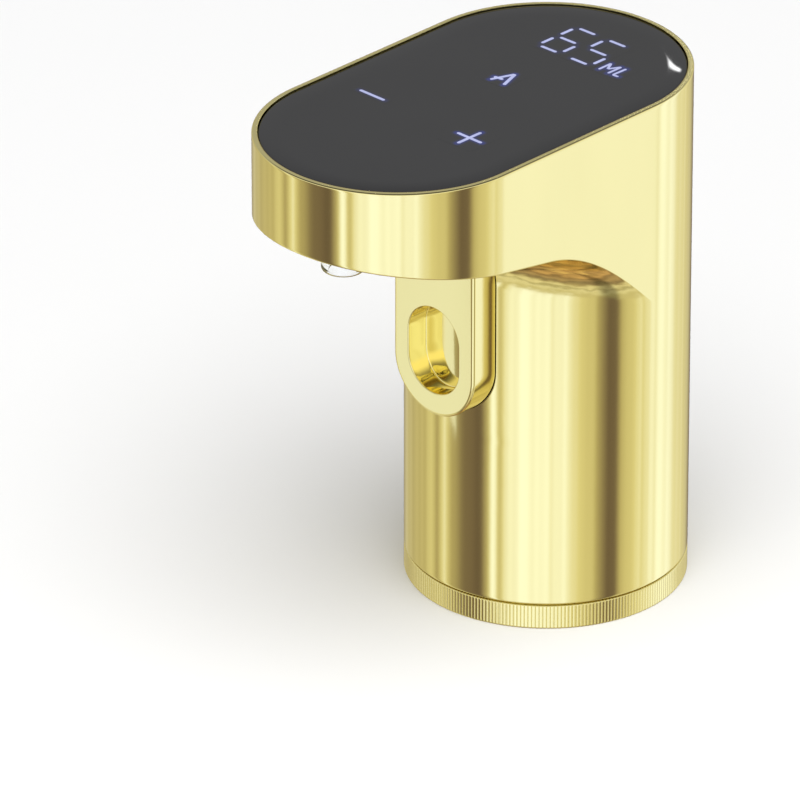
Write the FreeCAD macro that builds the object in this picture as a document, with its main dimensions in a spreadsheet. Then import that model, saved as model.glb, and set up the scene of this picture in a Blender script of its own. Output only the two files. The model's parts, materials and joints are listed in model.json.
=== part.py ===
"""Electric wine aerator: a column over a round opening, with an overhanging head that pours.

Origin: the column's axis at the base ring's bottom face. +Z is up and the head reaches out along -Y.
Lengths are millimetres. Every size is a cell of the sheet below, and the pieces are bound to those cells.
"""
import FreeCAD
import Part
import Sketcher
import os
import re
from FreeCAD import Placement, Rotation, Vector

SIZES = [
    ("shell_radius", 26, "outside radius of the column and of both ends of the head"),
    ("head_reach", 39, "from the column's axis to the centre of the head's front end"),
    ("total_height", 101.2, "base face to the rim round the glass"),
    ("shell_wall", 1.6, "wall of the shell"),
    ("tip_thickness", 15, "height of the head at its front tip"),
    ("underside_slope", 9.6, "degrees that the head's underside falls towards the column"),
    ("underside_fillet", 13, "radius between the underside and the column"),
    ("running_gap", 0.4, "between a moving piece and its neighbour"),
    ("slide_gap", 0.05, "radial play of a pin or shaft"),
    ("fit_gap", 0.15, "round a piece that is set into another"),
    ("ring_height", 4.5, "knurled height of the base ring"),
    ("ring_teeth", 240, "flutes round the base ring"),
    ("tooth_depth", 0.28, "depth of a flute"),
    ("opening_radius", 16.5, "round opening in the base ring"),
    ("collar_wall", 2.2, "wall of the ring's collar inside the shell"),
    ("lip_height", 1.1, "height of the bayonet lip at the collar's top"),
    ("lug_lift", 0.8, "from the ring's knurled body up to the bayonet lugs"),
    ("lug_height", 1.8, "height of a bayonet lug"),
    ("lug_reach", 1.3, "how far a lug stands out of the socket housing"),
    ("lug_angle", 40, "degrees that a lug spans"),
    ("land_angle", 60, "degrees that a land of the lip spans"),
    ("cup_wall", 1.8, "wall of the stopper carrier"),
    ("cup_depth", 28, "height of the carrier's roof above the base face"),
    ("cup_roof", 2.5, "thickness of the carrier's roof"),
    ("housing_wall", 1.4, "wall of the socket housing"),
    ("flange_height", 2, "thickness of the housing's flange"),
    ("deck_height", 2.5, "thickness of the housing's deck"),
    ("boss_radius", 2.6, "radius of a screw boss in the shell"),
    ("boss_inset", 2.4, "from the shell's inner face to the screw bosses' axes"),
    ("boss_height", 8, "height of a screw boss in the shell"),
    ("screw_radius", 0.9, "shank radius of a small screw"),
    ("screw_head_radius", 1.8, "head radius of a small screw"),
    ("screw_head_height", 1, "head height of a small screw"),
    ("screw_length", 6, "shank length of a small screw"),
    ("core_radius", 4.9, "radius of the stopper core's shaft"),
    ("core_flange_radius", 7.5, "flange of the core below the carrier's roof"),
    ("core_flange_height", 1.5, "thickness of that flange"),
    ("core_neck", 2.5, "height of the core's shoulder above the roof"),
    ("spigot_radius", 2.2, "liquid spigot of the core"),
    ("spigot_length", 4, "liquid spigot above the shoulder"),
    ("core_tip", 9.5, "height of the stopper's lower end"),
    ("barb_tip", 5.4, "height of the inlet barb's tip"),
    ("inlet_radius", 2, "outside radius of the core's inlet pipe"),
    ("inlet_barb", 2.6, "radius of the inlet's barb"),
    ("wine_bore", 1.3, "radius of the liquid's passage in the core"),
    ("air_bore", 0.5, "radius of an air passage in the core"),
    ("air_circle", 3.5, "distance of the air passages from the core's axis"),
    ("stopper_root", 8.4, "radius of the silicone stopper between its ribs"),
    ("stopper_rib", 9.7, "radius of the stopper's ribs"),
    ("rib_height", 1.6, "height of a stopper rib"),
    ("rib_pitch", 4.4, "from one stopper rib to the next"),
    ("rib_start", 2.6, "from the stopper's lower end to its first rib"),
    ("rib_slope", 1, "height over which a rib widens"),
    ("stopper_lip", 12, "radius of the stopper's top lip"),
    ("lip_thickness", 1.6, "thickness of the stopper's top lip"),
    ("seal_wire", 0.7, "radius of a seal's section"),
    ("air_room", 1.6, "height of the air space above the core's shoulder"),
    ("manifold_radius", 8.4, "radius of the manifold's hub"),
    ("manifold_top", 39, "height of the manifold's top face"),
    ("arm_bottom", 33, "height of the manifold arms' lower face"),
    ("arm_half", 3, "half width of a manifold arm"),
    ("wine_port_y", -9.5, "place of the liquid barb"),
    ("air_port_x", 8.6, "place of the air barb across"),
    ("air_port_y", 13.5, "place of the air barb behind the axis"),
    ("barb_height", 4.5, "height of a hose barb"),
    ("riser_radius", 2.4, "outside radius of the riser tube"),
    ("riser_bore", 1.5, "bore radius of the riser tube"),
    ("riser_bend", 8, "radius of the riser tube's bend"),
    ("run_drop", 9.9, "from the rim down to the middle of the riser tube's run"),
    ("hose_radius", 1.8, "outside radius of the air hose"),
    ("hose_bore", 1, "bore radius of the air hose"),
    ("hose_bend", 4, "radius of the air hose's bend"),
    ("frame_plate", 2, "thickness of the component frame's deck"),
    ("frame_inset", 2, "from the shell's inner face in to the edge of the frame's deck"),
    ("frame_screw_circle", 14.9, "distance of the frame's screws from the axis"),
    ("front_wall_thick", 1.5, "thickness of the frame's front wall"),
    ("front_wall_inset", 9, "from the shell's outside to the frame's front wall"),
    ("front_wall_half", 12.5, "half width of the frame's front wall"),
    ("wall_above_pin", 4.7, "from the pin up to the top of the frame's front wall"),
    ("spine_gap", 1.4, "from the motor's clamp to the wall between pump and battery"),
    ("spine_thick", 1.9, "thickness of that wall"),
    ("spine_top", 74, "top of that wall"),
    ("stand_top", 40, "height at which motor and battery stand"),
    ("stand_wall", 7, "radius of the stands below motor and battery"),
    ("pump_x", -10.5, "axis of motor and pump, across"),
    ("pump_y", 3, "axis of motor and pump, behind the column's axis"),
    ("motor_radius", 10, "radius of the motor's can"),
    ("motor_height", 22, "height of the motor's can"),
    ("can_wall", 0.8, "wall of the motor's can"),
    ("magnet_wall", 1.3, "thickness of a magnet"),
    ("magnet_gap", 4.8, "gap between the two magnets"),
    ("rotor_radius", 7.2, "radius of the rotor's windings"),
    ("rotor_height", 12, "height of the rotor's windings"),
    ("rotor_z", 45, "height of the windings' lower end"),
    ("shaft_radius", 1, "radius of the motor's shaft"),
    ("pump_radius", 11.5, "radius of the pump's parts"),
    ("pump_height", 10, "height of the pump's housing"),
    ("pump_wall", 1.5, "wall of the pump's housing"),
    ("eccentric_radius", 4, "radius of the eccentric"),
    ("eccentric_height", 3, "height of the eccentric"),
    ("crank_offset", 1.3, "throw of the crank pin"),
    ("crank_radius", 0.8, "radius of the crank pin"),
    ("crank_height", 3, "height of the crank pin"),
    ("wobble_radius", 8.5, "radius of the wobble plate"),
    ("wobble_thick", 0.8, "thickness of the wobble plate"),
    ("hub_radius", 3.6, "radius of the wobble plate's hub"),
    ("hub_bore", 2.6, "bore radius of the wobble plate's hub"),
    ("hub_height", 3, "height of the wobble plate's hub"),
    ("wobble_room", 0.7, "from the wobble plate up to the diaphragm"),
    ("stub_radius", 0.6, "radius of the two stubs that the wobble plate nods on"),
    ("stub_root", 1.2, "length of a stub inside the wobble plate's edge"),
    ("stub_reach", 1.1, "length of a stub outside the wobble plate's edge"),
    ("saddle_gap", 0.4, "from the wobble plate's edge to the saddle that bears a stub"),
    ("saddle_half", 1.5, "half width of a saddle"),
    ("saddle_depth", 2.5, "from the stubs' axis down to a saddle's lower face"),
    ("diaphragm_thick", 1.2, "thickness of the diaphragm"),
    ("valve_plate_thick", 2, "thickness of the valve plate"),
    ("valve_port", 1, "radius of a port in the valve plate"),
    ("valve_circle", 6, "distance of the ports from the pump's axis"),
    ("pump_head_height", 4.8, "height of the pump's head"),
    ("outlet_lift", 2.8, "from the pump head's lower face up to its outlet"),
    ("battery_play", 0.1, "from that wall to the battery's strap"),
    ("battery_radius", 8.1, "radius of the battery cell"),
    ("battery_length", 34, "length of the battery cell"),
    ("contact_radius", 2.7, "radius of the battery's contact"),
    ("band_wall", 1, "wall of the battery strap and the motor clamp"),
    ("band_height", 6, "height of the battery strap and the motor clamp"),
    ("band_z", 50, "lower edge of the battery strap and the motor clamp"),
    ("valve_x", 6.5, "left face of the relief valve"),
    ("valve_width", 11, "width of the relief valve across"),
    ("valve_y", -5, "front face of the relief valve"),
    ("valve_depth", 11, "depth of the relief valve"),
    ("valve_below", 1.5, "from the outlet down to the relief valve's lower face"),
    ("valve_height", 14, "height of the relief valve"),
    ("seat_depth", 2.5, "from the relief valve's lower face up to its seat"),
    ("valve_hose_up", 7.5, "from the relief valve's lower face up to its rear barb"),
    ("plunger_radius", 2.5, "radius of the relief valve's plunger"),
    ("plunger_height", 5, "height of the relief valve's plunger"),
    ("spring_wire", 0.3, "radius of a spring's wire"),
    ("valve_spring_radius", 1.7, "mean radius of the relief valve's spring"),
    ("valve_spring_turns", 5, "turns of the relief valve's spring"),
    ("board_y", 16.7, "front face of the main board"),
    ("board_thick", 1.6, "thickness of a circuit board"),
    ("board_half", 13, "half width of the main board"),
    ("board_bottom", 36, "lower edge of the main board"),
    ("board_drop", 10.2, "from the rim down to the main board's upper edge"),
    ("board_margin", 4.5, "from the board's upper and lower edges to its screws"),
    ("post_half", 1.5, "half width of a post of the component frame"),
    ("post_depth", 1.5, "depth of a post of the component frame"),
    ("post_x", 11.5, "distance of the rear posts from the middle"),
    ("link_half", 6, "half width of the header between the boards"),
    ("link_depth", 1.5, "depth of the header between the boards"),
    ("link_length", 7, "how far the header reaches down the main board"),
    ("usb_half", 4.47, "half width of the charging socket"),
    ("usb_high", 3.2, "height of the charging socket"),
    ("usb_wall", 0.35, "sheet of the charging socket"),
    ("usb_z", 22, "height of the charging socket's middle above the component frame"),
    ("usb_setback", 0.4, "how far the socket's mouth lies inside the shell's surface"),
    ("paddle_half", 9.8, "half width of the push paddle"),
    ("paddle_proud", 3.9, "from the column's outside forward to the paddle's flat front"),
    ("paddle_depth", 7.5, "from the paddle's flat front back to its rear edge"),
    ("paddle_bottom", 41.4, "height of the paddle's lowest edge"),
    ("paddle_tuck", 3.2, "from the level of the head's lowest front edge down to the paddle's top"),
    ("paddle_web", 1.5, "thickness behind the paddle's recess"),
    ("paddle_skirt", 1.4, "wall of the paddle's skirt"),
    ("recess_half", 6.2, "half width of the paddle's racetrack recess"),
    ("recess_bottom", 45.8, "height of the recess's lowest edge"),
    ("recess_top", 62.8, "height of the recess's highest edge"),
    ("pivot_inset", 1, "from the column's outside back to the paddle's pin"),
    ("pivot_drop", 2.7, "from the paddle's top down to its pin"),
    ("hollow_drop", 6, "from the pin down to the top of the paddle's hollow"),
    ("pivot_radius", 1, "radius of the paddle's pin"),
    ("ear_radius", 2, "radius of an ear of the pin bracket"),
    ("ear_thick", 1.8, "thickness of an ear of the pin bracket"),
    ("button_z", 56, "height of the switch"),
    ("button_radius", 1, "radius of the switch's plunger"),
    ("pad_radius", 2, "radius of the paddle's pad in front of the switch"),
    ("button_out", 2.1, "how far the switch's plunger stands out"),
    ("button_in", 0.6, "how far the switch's plunger is held inside at rest"),
    ("switch_half", 3, "half width of the switch"),
    ("switch_high", 7, "height of the switch"),
    ("switch_depth", 2.5, "depth of the switch"),
    ("paddle_spring_z", 67, "height of the paddle's spring"),
    ("paddle_spring_radius", 2.4, "mean radius of the paddle's spring"),
    ("paddle_spring_turns", 6, "turns of the paddle's spring"),
    ("rim_width", 1.2, "width of the gold rim round the glass"),
    ("rim_stand", 0.15, "how far the rim stands above the glass"),
    ("glass_thick", 1.4, "thickness of the touch glass"),
    ("tray_flange", 0.8, "thickness of the panel tray's flange"),
    ("tray_height", 5.6, "height of the panel tray"),
    ("tray_wall", 1.2, "wall of the panel tray"),
    ("tray_ledge", 1.5, "width of the ledge that carries the display board"),
    ("tray_floor", 1.2, "thickness of that ledge"),
    ("bar_wide", 0.9, "width of a light bar"),
    ("digit_left", -4.6, "middle of the left numeral"),
    ("digit_pitch", 7.3, "from one numeral to the next"),
    ("digit_y", 9.7, "middle of the numerals behind the column's axis"),
    ("digit_rise", 5.05, "from the middle bar to the top bar of a numeral"),
    ("digit_half", 2.65, "from a numeral's middle to its upright bars"),
    ("digit_bar", 3.9, "length of a numeral's flat bar"),
    ("digit_post", 3.3, "length of a numeral's upright bar"),
    ("unit_x", 9.7, "place of the unit mark across"),
    ("unit_y", 6.4, "place of the unit mark behind the column's axis"),
    ("unit_wide", 7.1, "width of the unit mark"),
    ("unit_long", 3.4, "height of the unit mark"),
    ("key_y", -31, "place of the minus and plus keys"),
    ("minus_x", -14.1, "place of the minus key"),
    ("plus_x", 10.1, "place of the plus key"),
    ("key_bar", 6.3, "length of the minus and plus bars"),
    ("auto_x", -1.9, "place of the automatic key across"),
    ("auto_y", -10.1, "place of the automatic key"),
    ("auto_wide", 5, "width of the automatic mark"),
    ("auto_long", 6, "height of the automatic mark"),
    ("nozzle_ahead", 14, "from the centre of the head's front end forward to the nozzle"),
    ("nozzle_out", 5.2, "from the underside down to the nozzle's tip"),
    ("nozzle_radius", 4, "outside radius of the nozzle"),
    ("nozzle_bore", 2.7, "bore radius of the nozzle"),
    ("nozzle_flange", 5.2, "radius of the nozzle's flange"),
    ("flange_thick", 1, "thickness of the nozzle's flange"),
    ("chamber_radius", 6, "radius of the aerator chamber"),
    ("chamber_height", 4.8, "height of the aerator chamber"),
    ("chamber_wall", 1.1, "wall of the aerator chamber"),
    ("chamber_screw_x", 8.6, "distance of the chamber's screws from the middle line"),
    ("chamber_ear", 2, "half width of the chamber's ears"),
    ("chamber_ear_thick", 1.5, "thickness of the chamber's ears"),
    ("chamber_screw", 2.2, "shank length of the chamber's screws"),
    ("insert_radius", 2.6, "radius of the aerator insert"),
    ("insert_height", 2, "height of the aerator insert"),
    ("insert_hole", 0.5, "radius of a hole in the aerator insert"),
    ("insert_circle", 1.5, "distance of those holes from the middle"),
    ("chip_size", 5, "side of a chip on the main board"),
    ("chip_thick", 1.2, "thickness of a chip"),
    ("chip_x", 5, "distance of the chips from the middle line"),
    ("chip_low", 66, "height of the lowest chip's middle"),
    ("buzzer_radius", 4.5, "radius of the buzzer"),
    ("buzzer_depth", 2.4, "depth of the buzzer"),
    ("buzzer_x", 6, "place of the buzzer across"),
    ("buzzer_z", 80, "height of the buzzer's middle"),
    ("switch_floor", 0.5, "wall behind the switch's bore"),
]
NAMES = {name: size for name, size, meaning in SIZES}
ROUND = 360
CUT_PAST = 1
SCREW_ANGLES = (60, 180, 300)
FRAME_SCREW_ANGLES = (0, 130, 215)
ALONG_X = Rotation(Vector(0, 1, 0), 90)
ALONG_Y = Rotation(Vector(1, 0, 0), -90)
DOWNWARD = Rotation(Vector(1, 0, 0), 180)
BACKWARD = Rotation(Vector(1, 0, 0), 90)
INSERT_HOLES = 6
STOPPER_RIBS = 3

doc = FreeCAD.newDocument("wine_aerator")
sheet = doc.addObject("Spreadsheet::Sheet", "sizes")
nodes = []


def fill_sheet():
    """Write each size with its name and meaning on a row of its own."""
    for row, (name, size, meaning) in enumerate(SIZES, start=1):
        sheet.set(f"A{row}", name)
        sheet.set(f"B{row}", str(size))
        sheet.set(f"C{row}", meaning)
        sheet.setAlias(f"B{row}", name)
    doc.recompute()


def linked(formula):
    """Turn a formula in the sheet's names into one that points at the sheet."""
    return re.sub(r"[a-z_]+", lambda word: "sizes." + word[0] if word[0] in NAMES else word[0], str(formula))


def bind(thing, prop, formula):
    """Bind one property of an object to the sheet."""
    thing.setExpression(prop, linked(formula))


def place(thing, x=0, y=0, z=0, turn=None):
    """Bind an object's place to the sheet, with a fixed turn."""
    if turn:
        thing.Placement = Placement(Vector(), turn)
    for axis, formula in zip("xyz", (x, y, z)):
        bind(thing, f"Placement.Base.{axis}", formula)
    return thing


def node(thing, label):
    """Name a finished sub-part and put it on the list of files."""
    thing.Label = label
    nodes.append(thing)
    return thing


def rod(name, radius, length, x=0, y=0, z=0, turn=None):
    """A cylinder that starts at a point and runs up, or along the turned axis."""
    thing = doc.addObject("Part::Cylinder", name)
    bind(thing, "Radius", radius)
    bind(thing, "Height", length)
    return place(thing, x, y, z, turn)


def block(name, x, y, z):
    """A box between two formulas on each axis."""
    thing = doc.addObject("Part::Box", name)
    for prop, (low, high) in zip(("Length", "Width", "Height"), (x, y, z)):
        bind(thing, prop, f"({high}) - ({low})")
    return place(thing, x[0], y[0], z[0])


def fuse(name, *things):
    """One solid of several that touch or overlap."""
    thing = doc.addObject("Part::MultiFuse", name)
    thing.Shapes = list(things)
    thing.Refine = True
    return thing


def cut(name, base, *tools):
    """A solid less one or more others."""
    thing = doc.addObject("Part::Cut", name)
    thing.Base = base
    thing.Tool = tools[0] if len(tools) == 1 else fuse(name + "_tools", *tools)
    thing.Refine = True
    return thing


def common(name, first, second):
    """What two solids share."""
    thing = doc.addObject("Part::Common", name)
    thing.Base = first
    thing.Tool = second
    return thing


def group(name, things):
    """Separate solids kept as one sub-part."""
    thing = doc.addObject("Part::Compound", name)
    thing.Links = list(things)
    return thing


def tube(name, outer, inner, length, x=0, y=0, z=0, turn=None):
    """A cylinder with a bore."""
    return cut(name, rod(name + "_body", outer, length, x, y, z, turn),
               rod(name + "_bore", inner, length, x, y, z, turn))


def screw(name, length, x, y, z, turn=None):
    """A screw whose head sits at a point, with its shank along the turned axis."""
    head = rod(name + "_head", "screw_head_radius", "screw_head_height", x, y, z, turn)
    shank = rod(name + "_shank", "screw_radius", f"{length} + screw_head_height", x, y, z, turn)
    return fuse(name, head, shank)


def racetrack(name, radius, near, far, bottom, height):
    """An upright block with round ends, its end circles on the middle line at two distances along Y."""
    ends = [rod(f"{name}_end_{i}", radius, height, 0, y, bottom) for i, y in enumerate((near, far))]
    middle = block(name + "_middle", (f"-({radius})", radius), (far, near),
                   (bottom, f"({bottom}) + ({height})"))
    return fuse(name, middle, *ends)


def facing_track(name, radius, low, high, front, back):
    """A block with round ends that faces along Y, its end circles at two heights."""
    depth = f"({back}) - ({front})"
    ends = [rod(f"{name}_end_{i}", radius, depth, 0, front, z, ALONG_Y) for i, z in enumerate((low, high))]
    middle = block(name + "_middle", (f"-({radius})", radius), (front, back), (low, high))
    return fuse(name, middle, *ends)


def profile(body, name, points):
    """A closed outline on the body's XZ plane, each corner tied to the sheet by its radius and height."""
    sketch = body.newObject("Sketcher::SketchObject", name)
    plane = [item for item in body.Origin.OriginFeatures if item.Role == "XZ_Plane"][0]
    sketch.AttachmentSupport = [(plane, "")]
    sketch.MapMode = "FlatFace"
    start = [Vector(CUT_PAST + i, i * i, 0) for i in range(len(points))]
    for i, point in enumerate(start):
        sketch.addGeometry(Part.LineSegment(point, start[(i + 1) % len(start)]))
    for i in range(len(points)):
        sketch.addConstraint(Sketcher.Constraint("Coincident", i, 2, (i + 1) % len(points), 1))
    for i, (across, up) in enumerate(points):
        for kind, formula in (("DistanceX", across), ("DistanceY", up)):
            index = sketch.addConstraint(Sketcher.Constraint(kind, -1, 1, i, 1, 1.0))
            sketch.setExpression(f"Constraints[{index}]", linked(formula))
    return sketch


def revolved(name, points, x=0, y=0, z=0):
    """A body turned from an outline of radius and height."""
    body = doc.addObject("PartDesign::Body", name)
    sketch = profile(body, name + "_outline", points)
    turned = body.newObject("PartDesign::Revolution", name + "_turned")
    turned.Profile = sketch
    turned.ReferenceAxis = (sketch, ["V_Axis"])
    turned.Angle = ROUND
    body.Tip = turned
    return place(body, x, y, z)


def sector(name, inner, outer, angle, middle, bottom, height):
    """A piece of a ring about the column's axis, centred on an angle in degrees."""
    ring = []
    for part, radius in (("outer", outer), ("inner", inner)):
        wedge = rod(f"{name}_{part}", radius, height, 0, 0, bottom)
        bind(wedge, "Angle", angle)
        wedge.Placement.Rotation = Rotation(Vector(0, 0, 1), 0)
        bind(wedge, "Placement.Rotation.Angle", f"{middle} - ({angle}) / 2")
        ring.append(wedge)
    return cut(name, ring[0], ring[1])


def piped(name, points, bend, outer, inner):
    """A tube along straight runs joined by tangent arcs of one radius."""
    edges = []
    last = points[0]
    for before, corner, after in zip(points, points[1:], points[2:]):
        into = (corner - before).normalize()
        out = (after - corner).normalize()
        start = corner - into * bend
        end = corner + out * bend
        middle = corner + (out - into) * bend * (1 - 0.5 ** 0.5)
        edges.append(Part.makeLine(last, start))
        edges.append(Part.Arc(start, middle, end).toShape())
        last = end
    edges.append(Part.makeLine(last, points[-1]))
    path = Part.Wire(edges)
    direction = (points[1] - points[0]).normalize()
    shapes = []
    for radius in (outer, inner):
        ring = Part.Wire([Part.makeCircle(radius, points[0], direction)])
        shapes.append(path.makePipeShell([ring], True, False))
    thing = doc.addObject("Part::Feature", name)
    thing.Shape = shapes[0].cut(shapes[1])
    return thing


def coil(name, radius, wire, turns, length, foot, turn):
    """A compression spring from its foot, with its axis along the turned direction."""
    rise = (length - 2 * wire) / turns
    helix = Part.makeHelix(rise, rise * turns, radius)
    ring = Part.Wire([Part.makeCircle(wire, Vector(radius, 0, 0), Vector(0, 1, 0))])
    thing = doc.addObject("Part::Feature", name)
    thing.Shape = Part.Wire(helix).makePipeShell([ring], True, True)
    thing.Placement = Placement(foot + turn.multVec(Vector(0, 0, wire)), turn)
    return thing


INNER = "(shell_radius - shell_wall)"
BOSS_CIRCLE = "(shell_radius - shell_wall - boss_inset)"
SHELL_BOTTOM = "(ring_height + running_gap)"
GLASS_BOTTOM = "(total_height - rim_stand - glass_thick)"
TRAY_SEAT = "(total_height - rim_stand - glass_thick - tray_flange)"
GLASS_RADIUS = "(shell_radius - rim_width)"
FLANGE_BOTTOM = "(ring_height + lug_lift + lug_height + lip_height + 2 * running_gap)"
FLANGE_TOP = f"({FLANGE_BOTTOM} + flange_height)"
ROOF_TOP = "(cup_depth + cup_roof)"
DECK_TOP = f"({ROOF_TOP} + deck_height)"
FRAME_TOP = f"({DECK_TOP} + frame_plate)"
CUP_RADIUS = "(opening_radius + cup_wall)"
HOUSING_BORE = "(opening_radius + cup_wall + running_gap)"
HOUSING_RADIUS = "(opening_radius + cup_wall + running_gap + housing_wall)"
PADDLE_GAP = "(paddle_half + running_gap)"
PADDLE_LOW = "(paddle_bottom + paddle_half)"
PUMP_Z = "(stand_top + motor_height)"
WOBBLE_Z = f"({PUMP_Z} + pump_height - wobble_room - wobble_thick / 2)"
SPINE_X = "(pump_x + motor_radius + band_wall + spine_gap)"
BATTERY_X = f"({SPINE_X} + spine_thick + band_wall + battery_play + battery_radius)"
DIAPHRAGM_Z = f"({PUMP_Z} + pump_height)"
VALVE_PLATE_Z = f"({DIAPHRAGM_Z} + diaphragm_thick)"
PUMP_HEAD_Z = f"({VALVE_PLATE_Z} + valve_plate_thick)"
BOARD_TOP = "(total_height - board_drop)"
RUN_Z = "(total_height - run_drop)"
CHAMBER_Z = f"({RUN_Z} - chamber_height / 2)"
NOZZLE_SEAT = f"({CHAMBER_Z} - flange_thick)"
NOZZLE_Y = "(-head_reach - nozzle_ahead)"
NOZZLE_FACE = "(total_height - tip_thickness - (shell_radius - nozzle_ahead) * tan(underside_slope))"
NOZZLE_TIP = f"({NOZZLE_FACE} - nozzle_out)"
OUTLET_Z = f"({PUMP_HEAD_Z} + outlet_lift)"
VALVE_Z = f"({OUTLET_Z} - valve_below)"
PLUNGER_Z = f"({VALVE_Z} + seat_depth)"
VALVE_HOSE_Z = f"({VALVE_Z} + valve_hose_up)"
PADDLE_FRONT = "(shell_radius + paddle_proud)"
PADDLE_BACK = f"({PADDLE_FRONT} - paddle_depth)"
PADDLE_TOP = "(total_height - tip_thickness - paddle_tuck)"
PIVOT_Y = "(pivot_inset - shell_radius)"
PIVOT_Z = f"({PADDLE_TOP} - pivot_drop)"
FRONT_WALL_Y = "(front_wall_inset - shell_radius)"
FRONT_WALL_TOP = f"({PIVOT_Z} + wall_above_pin)"
BOARD_BACK = "(board_y + board_thick)"
USB_MIDDLE = f"({FRAME_TOP} + usb_z)"
SPIGOT_TOP = f"({ROOF_TOP} + core_neck + spigot_length)"
GLAND_BOTTOM = f"({ROOF_TOP} + core_neck + air_room + seal_wire)"
VALVE_MIDDLE_X = "(valve_x + valve_width / 2)"
VALVE_MIDDLE_Y = "(valve_y + valve_depth / 2)"
TRAY_BOTTOM = f"({GLASS_BOTTOM} - tray_height)"
TRAY_FLOOR_TOP = f"({TRAY_BOTTOM} + tray_floor)"
GUIDE_BOTTOM = f"({TRAY_FLOOR_TOP} + board_thick)"
BOARD_SCREW_HEIGHTS = ("board_bottom + board_margin", f"{BOARD_TOP} - board_margin")
CHIP_PLACES = ((-1, 0), (1, 1), (-1, 2))


def underside_space(name, inset):
    """The open space in front of the column and below the head, its rim at the column rounded.

    The inset moves every face into the wall: 0 gives the shell's outside and the wall its inside.
    """
    slab = doc.addObject("Part::Box", name + "_slab")
    for prop, size in (("Length", "4 * shell_radius"), ("Width", "head_reach + 6 * shell_radius"),
                       ("Height", "2 * total_height")):
        bind(slab, prop, size)
    slab.Placement = Placement(Vector(), Rotation(Vector(1, 0, 0), ROUND / 2))
    bind(slab, "Placement.Rotation.Angle", "180 - underside_slope")
    back = "3 * shell_radius"
    fall = f"(head_reach + shell_radius + {back}) * tan(underside_slope)"
    place(slab, "-2 * shell_radius", back,
          f"total_height - tip_thickness + ({inset}) / cos(underside_slope) - {fall}")
    column = rod(name + "_column", f"shell_radius - ({inset})", "2 * total_height", 0, 0, "-total_height")
    pierced = cut(name + "_pierced", slab, column)
    pierced.Refine = False
    doc.recompute()
    rounded = doc.addObject("Part::Fillet", name + "_rounded")
    rounded.Base = pierced
    radius = NAMES["underside_fillet"] + (NAMES["shell_wall"] if inset != "0" else 0)
    highest = max((edge.BoundBox.Center.z, i) for i, edge in enumerate(pierced.Shape.Edges, start=1)
                  if edge.Curve.TypeId == "Part::GeomEllipse")
    rounded.Edges = [(highest[1], radius, radius)]
    front = block(name + "_front", ("-2 * shell_radius", "2 * shell_radius"),
                  ("-head_reach - 2 * shell_radius", "-slide_gap"), ("-total_height", "2 * total_height"))
    return common(name, rounded, front)


def outer_shell():
    """Column and head in one wall, open below and on top, with the openings for paddle, nozzle and socket."""
    height = f"total_height - {SHELL_BOTTOM}"
    outside = cut("shell_outside", racetrack("shell_prism", "shell_radius", 0, "-head_reach", SHELL_BOTTOM,
                                             height),
                  underside_space("outside_space", "0"))
    core = racetrack("shell_core", INNER, 0, "-head_reach", "0", "total_height + total_height")
    inside = cut("shell_inside", core, underside_space("inside_space", "shell_wall"))
    recess = racetrack("glass_recess", f"{GLASS_RADIUS} + fit_gap", 0, "-head_reach", TRAY_SEAT,
                       "shell_radius")
    doorway = tongue("paddle_doorway", PADDLE_GAP, PADDLE_LOW, f"{PADDLE_TOP} + running_gap",
                     f"-{PADDLE_FRONT} - running_gap", f"-{PADDLE_BACK} + 2 * shell_wall")
    spout = rod("nozzle_hole", "nozzle_radius + fit_gap", "tip_thickness", 0, NOZZLE_Y,
                f"{NOZZLE_SEAT} - tip_thickness")
    port = socket_space("port_opening", "fit_gap", "board_y", "shell_radius + shell_wall")
    bosses = []
    pilots = []
    for angle in SCREW_ANGLES:
        spot = (f"{BOSS_CIRCLE} * cos({angle})", f"{BOSS_CIRCLE} * sin({angle})", FLANGE_TOP)
        bosses.append(rod(f"boss_{angle}", "boss_radius", "boss_height", *spot))
        pilots.append(rod(f"pilot_{angle}", "screw_radius", "screw_length", *spot))
    studs = []
    for side in (-1, 1):
        spot = (f"{side} * chamber_screw_x", NOZZLE_Y)
        studs.append(rod(f"chamber_boss_{side + 1}", "chamber_ear", "tip_thickness", *spot,
                         f"{CHAMBER_Z} - tip_thickness"))
        pilots.append(rod(f"chamber_pilot_{side + 1}", "screw_radius", "chamber_screw", *spot,
                          f"{CHAMBER_Z} - chamber_screw"))
    walls = cut("shell_walls", outside, inside, recess)
    held = cut("shell_bosses", common("held_bosses", fuse("all_bosses", *bosses), outside),
               rod("housing_room", f"{HOUSING_RADIUS} + fit_gap", "total_height"))
    raised = common("shell_studs", group("chamber_bosses", studs), outside)
    whole = fuse("shell_whole", walls, held, raised)
    return node(cut("shell_cut", whole, doorway, spout, port, *pilots), "outer_shell")


def socket_space(name, extra, front, back):
    """The charging socket's outline, grown all round, between two distances along Y."""
    radius = f"usb_high / 2 + {extra}"
    ends = [rod(f"{name}_end_{side + 1}", radius, f"{back} - ({front})",
                f"{side} * (usb_half - usb_high / 2)", front,
                USB_MIDDLE, ALONG_Y) for side in (-1, 1)]
    middle = block(name + "_middle", ("usb_high / 2 - usb_half", "usb_half - usb_high / 2"), (front, back),
                   (f"{USB_MIDDLE} - ({radius})", f"{USB_MIDDLE} + {radius}"))
    return fuse(name, middle, *ends)


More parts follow.
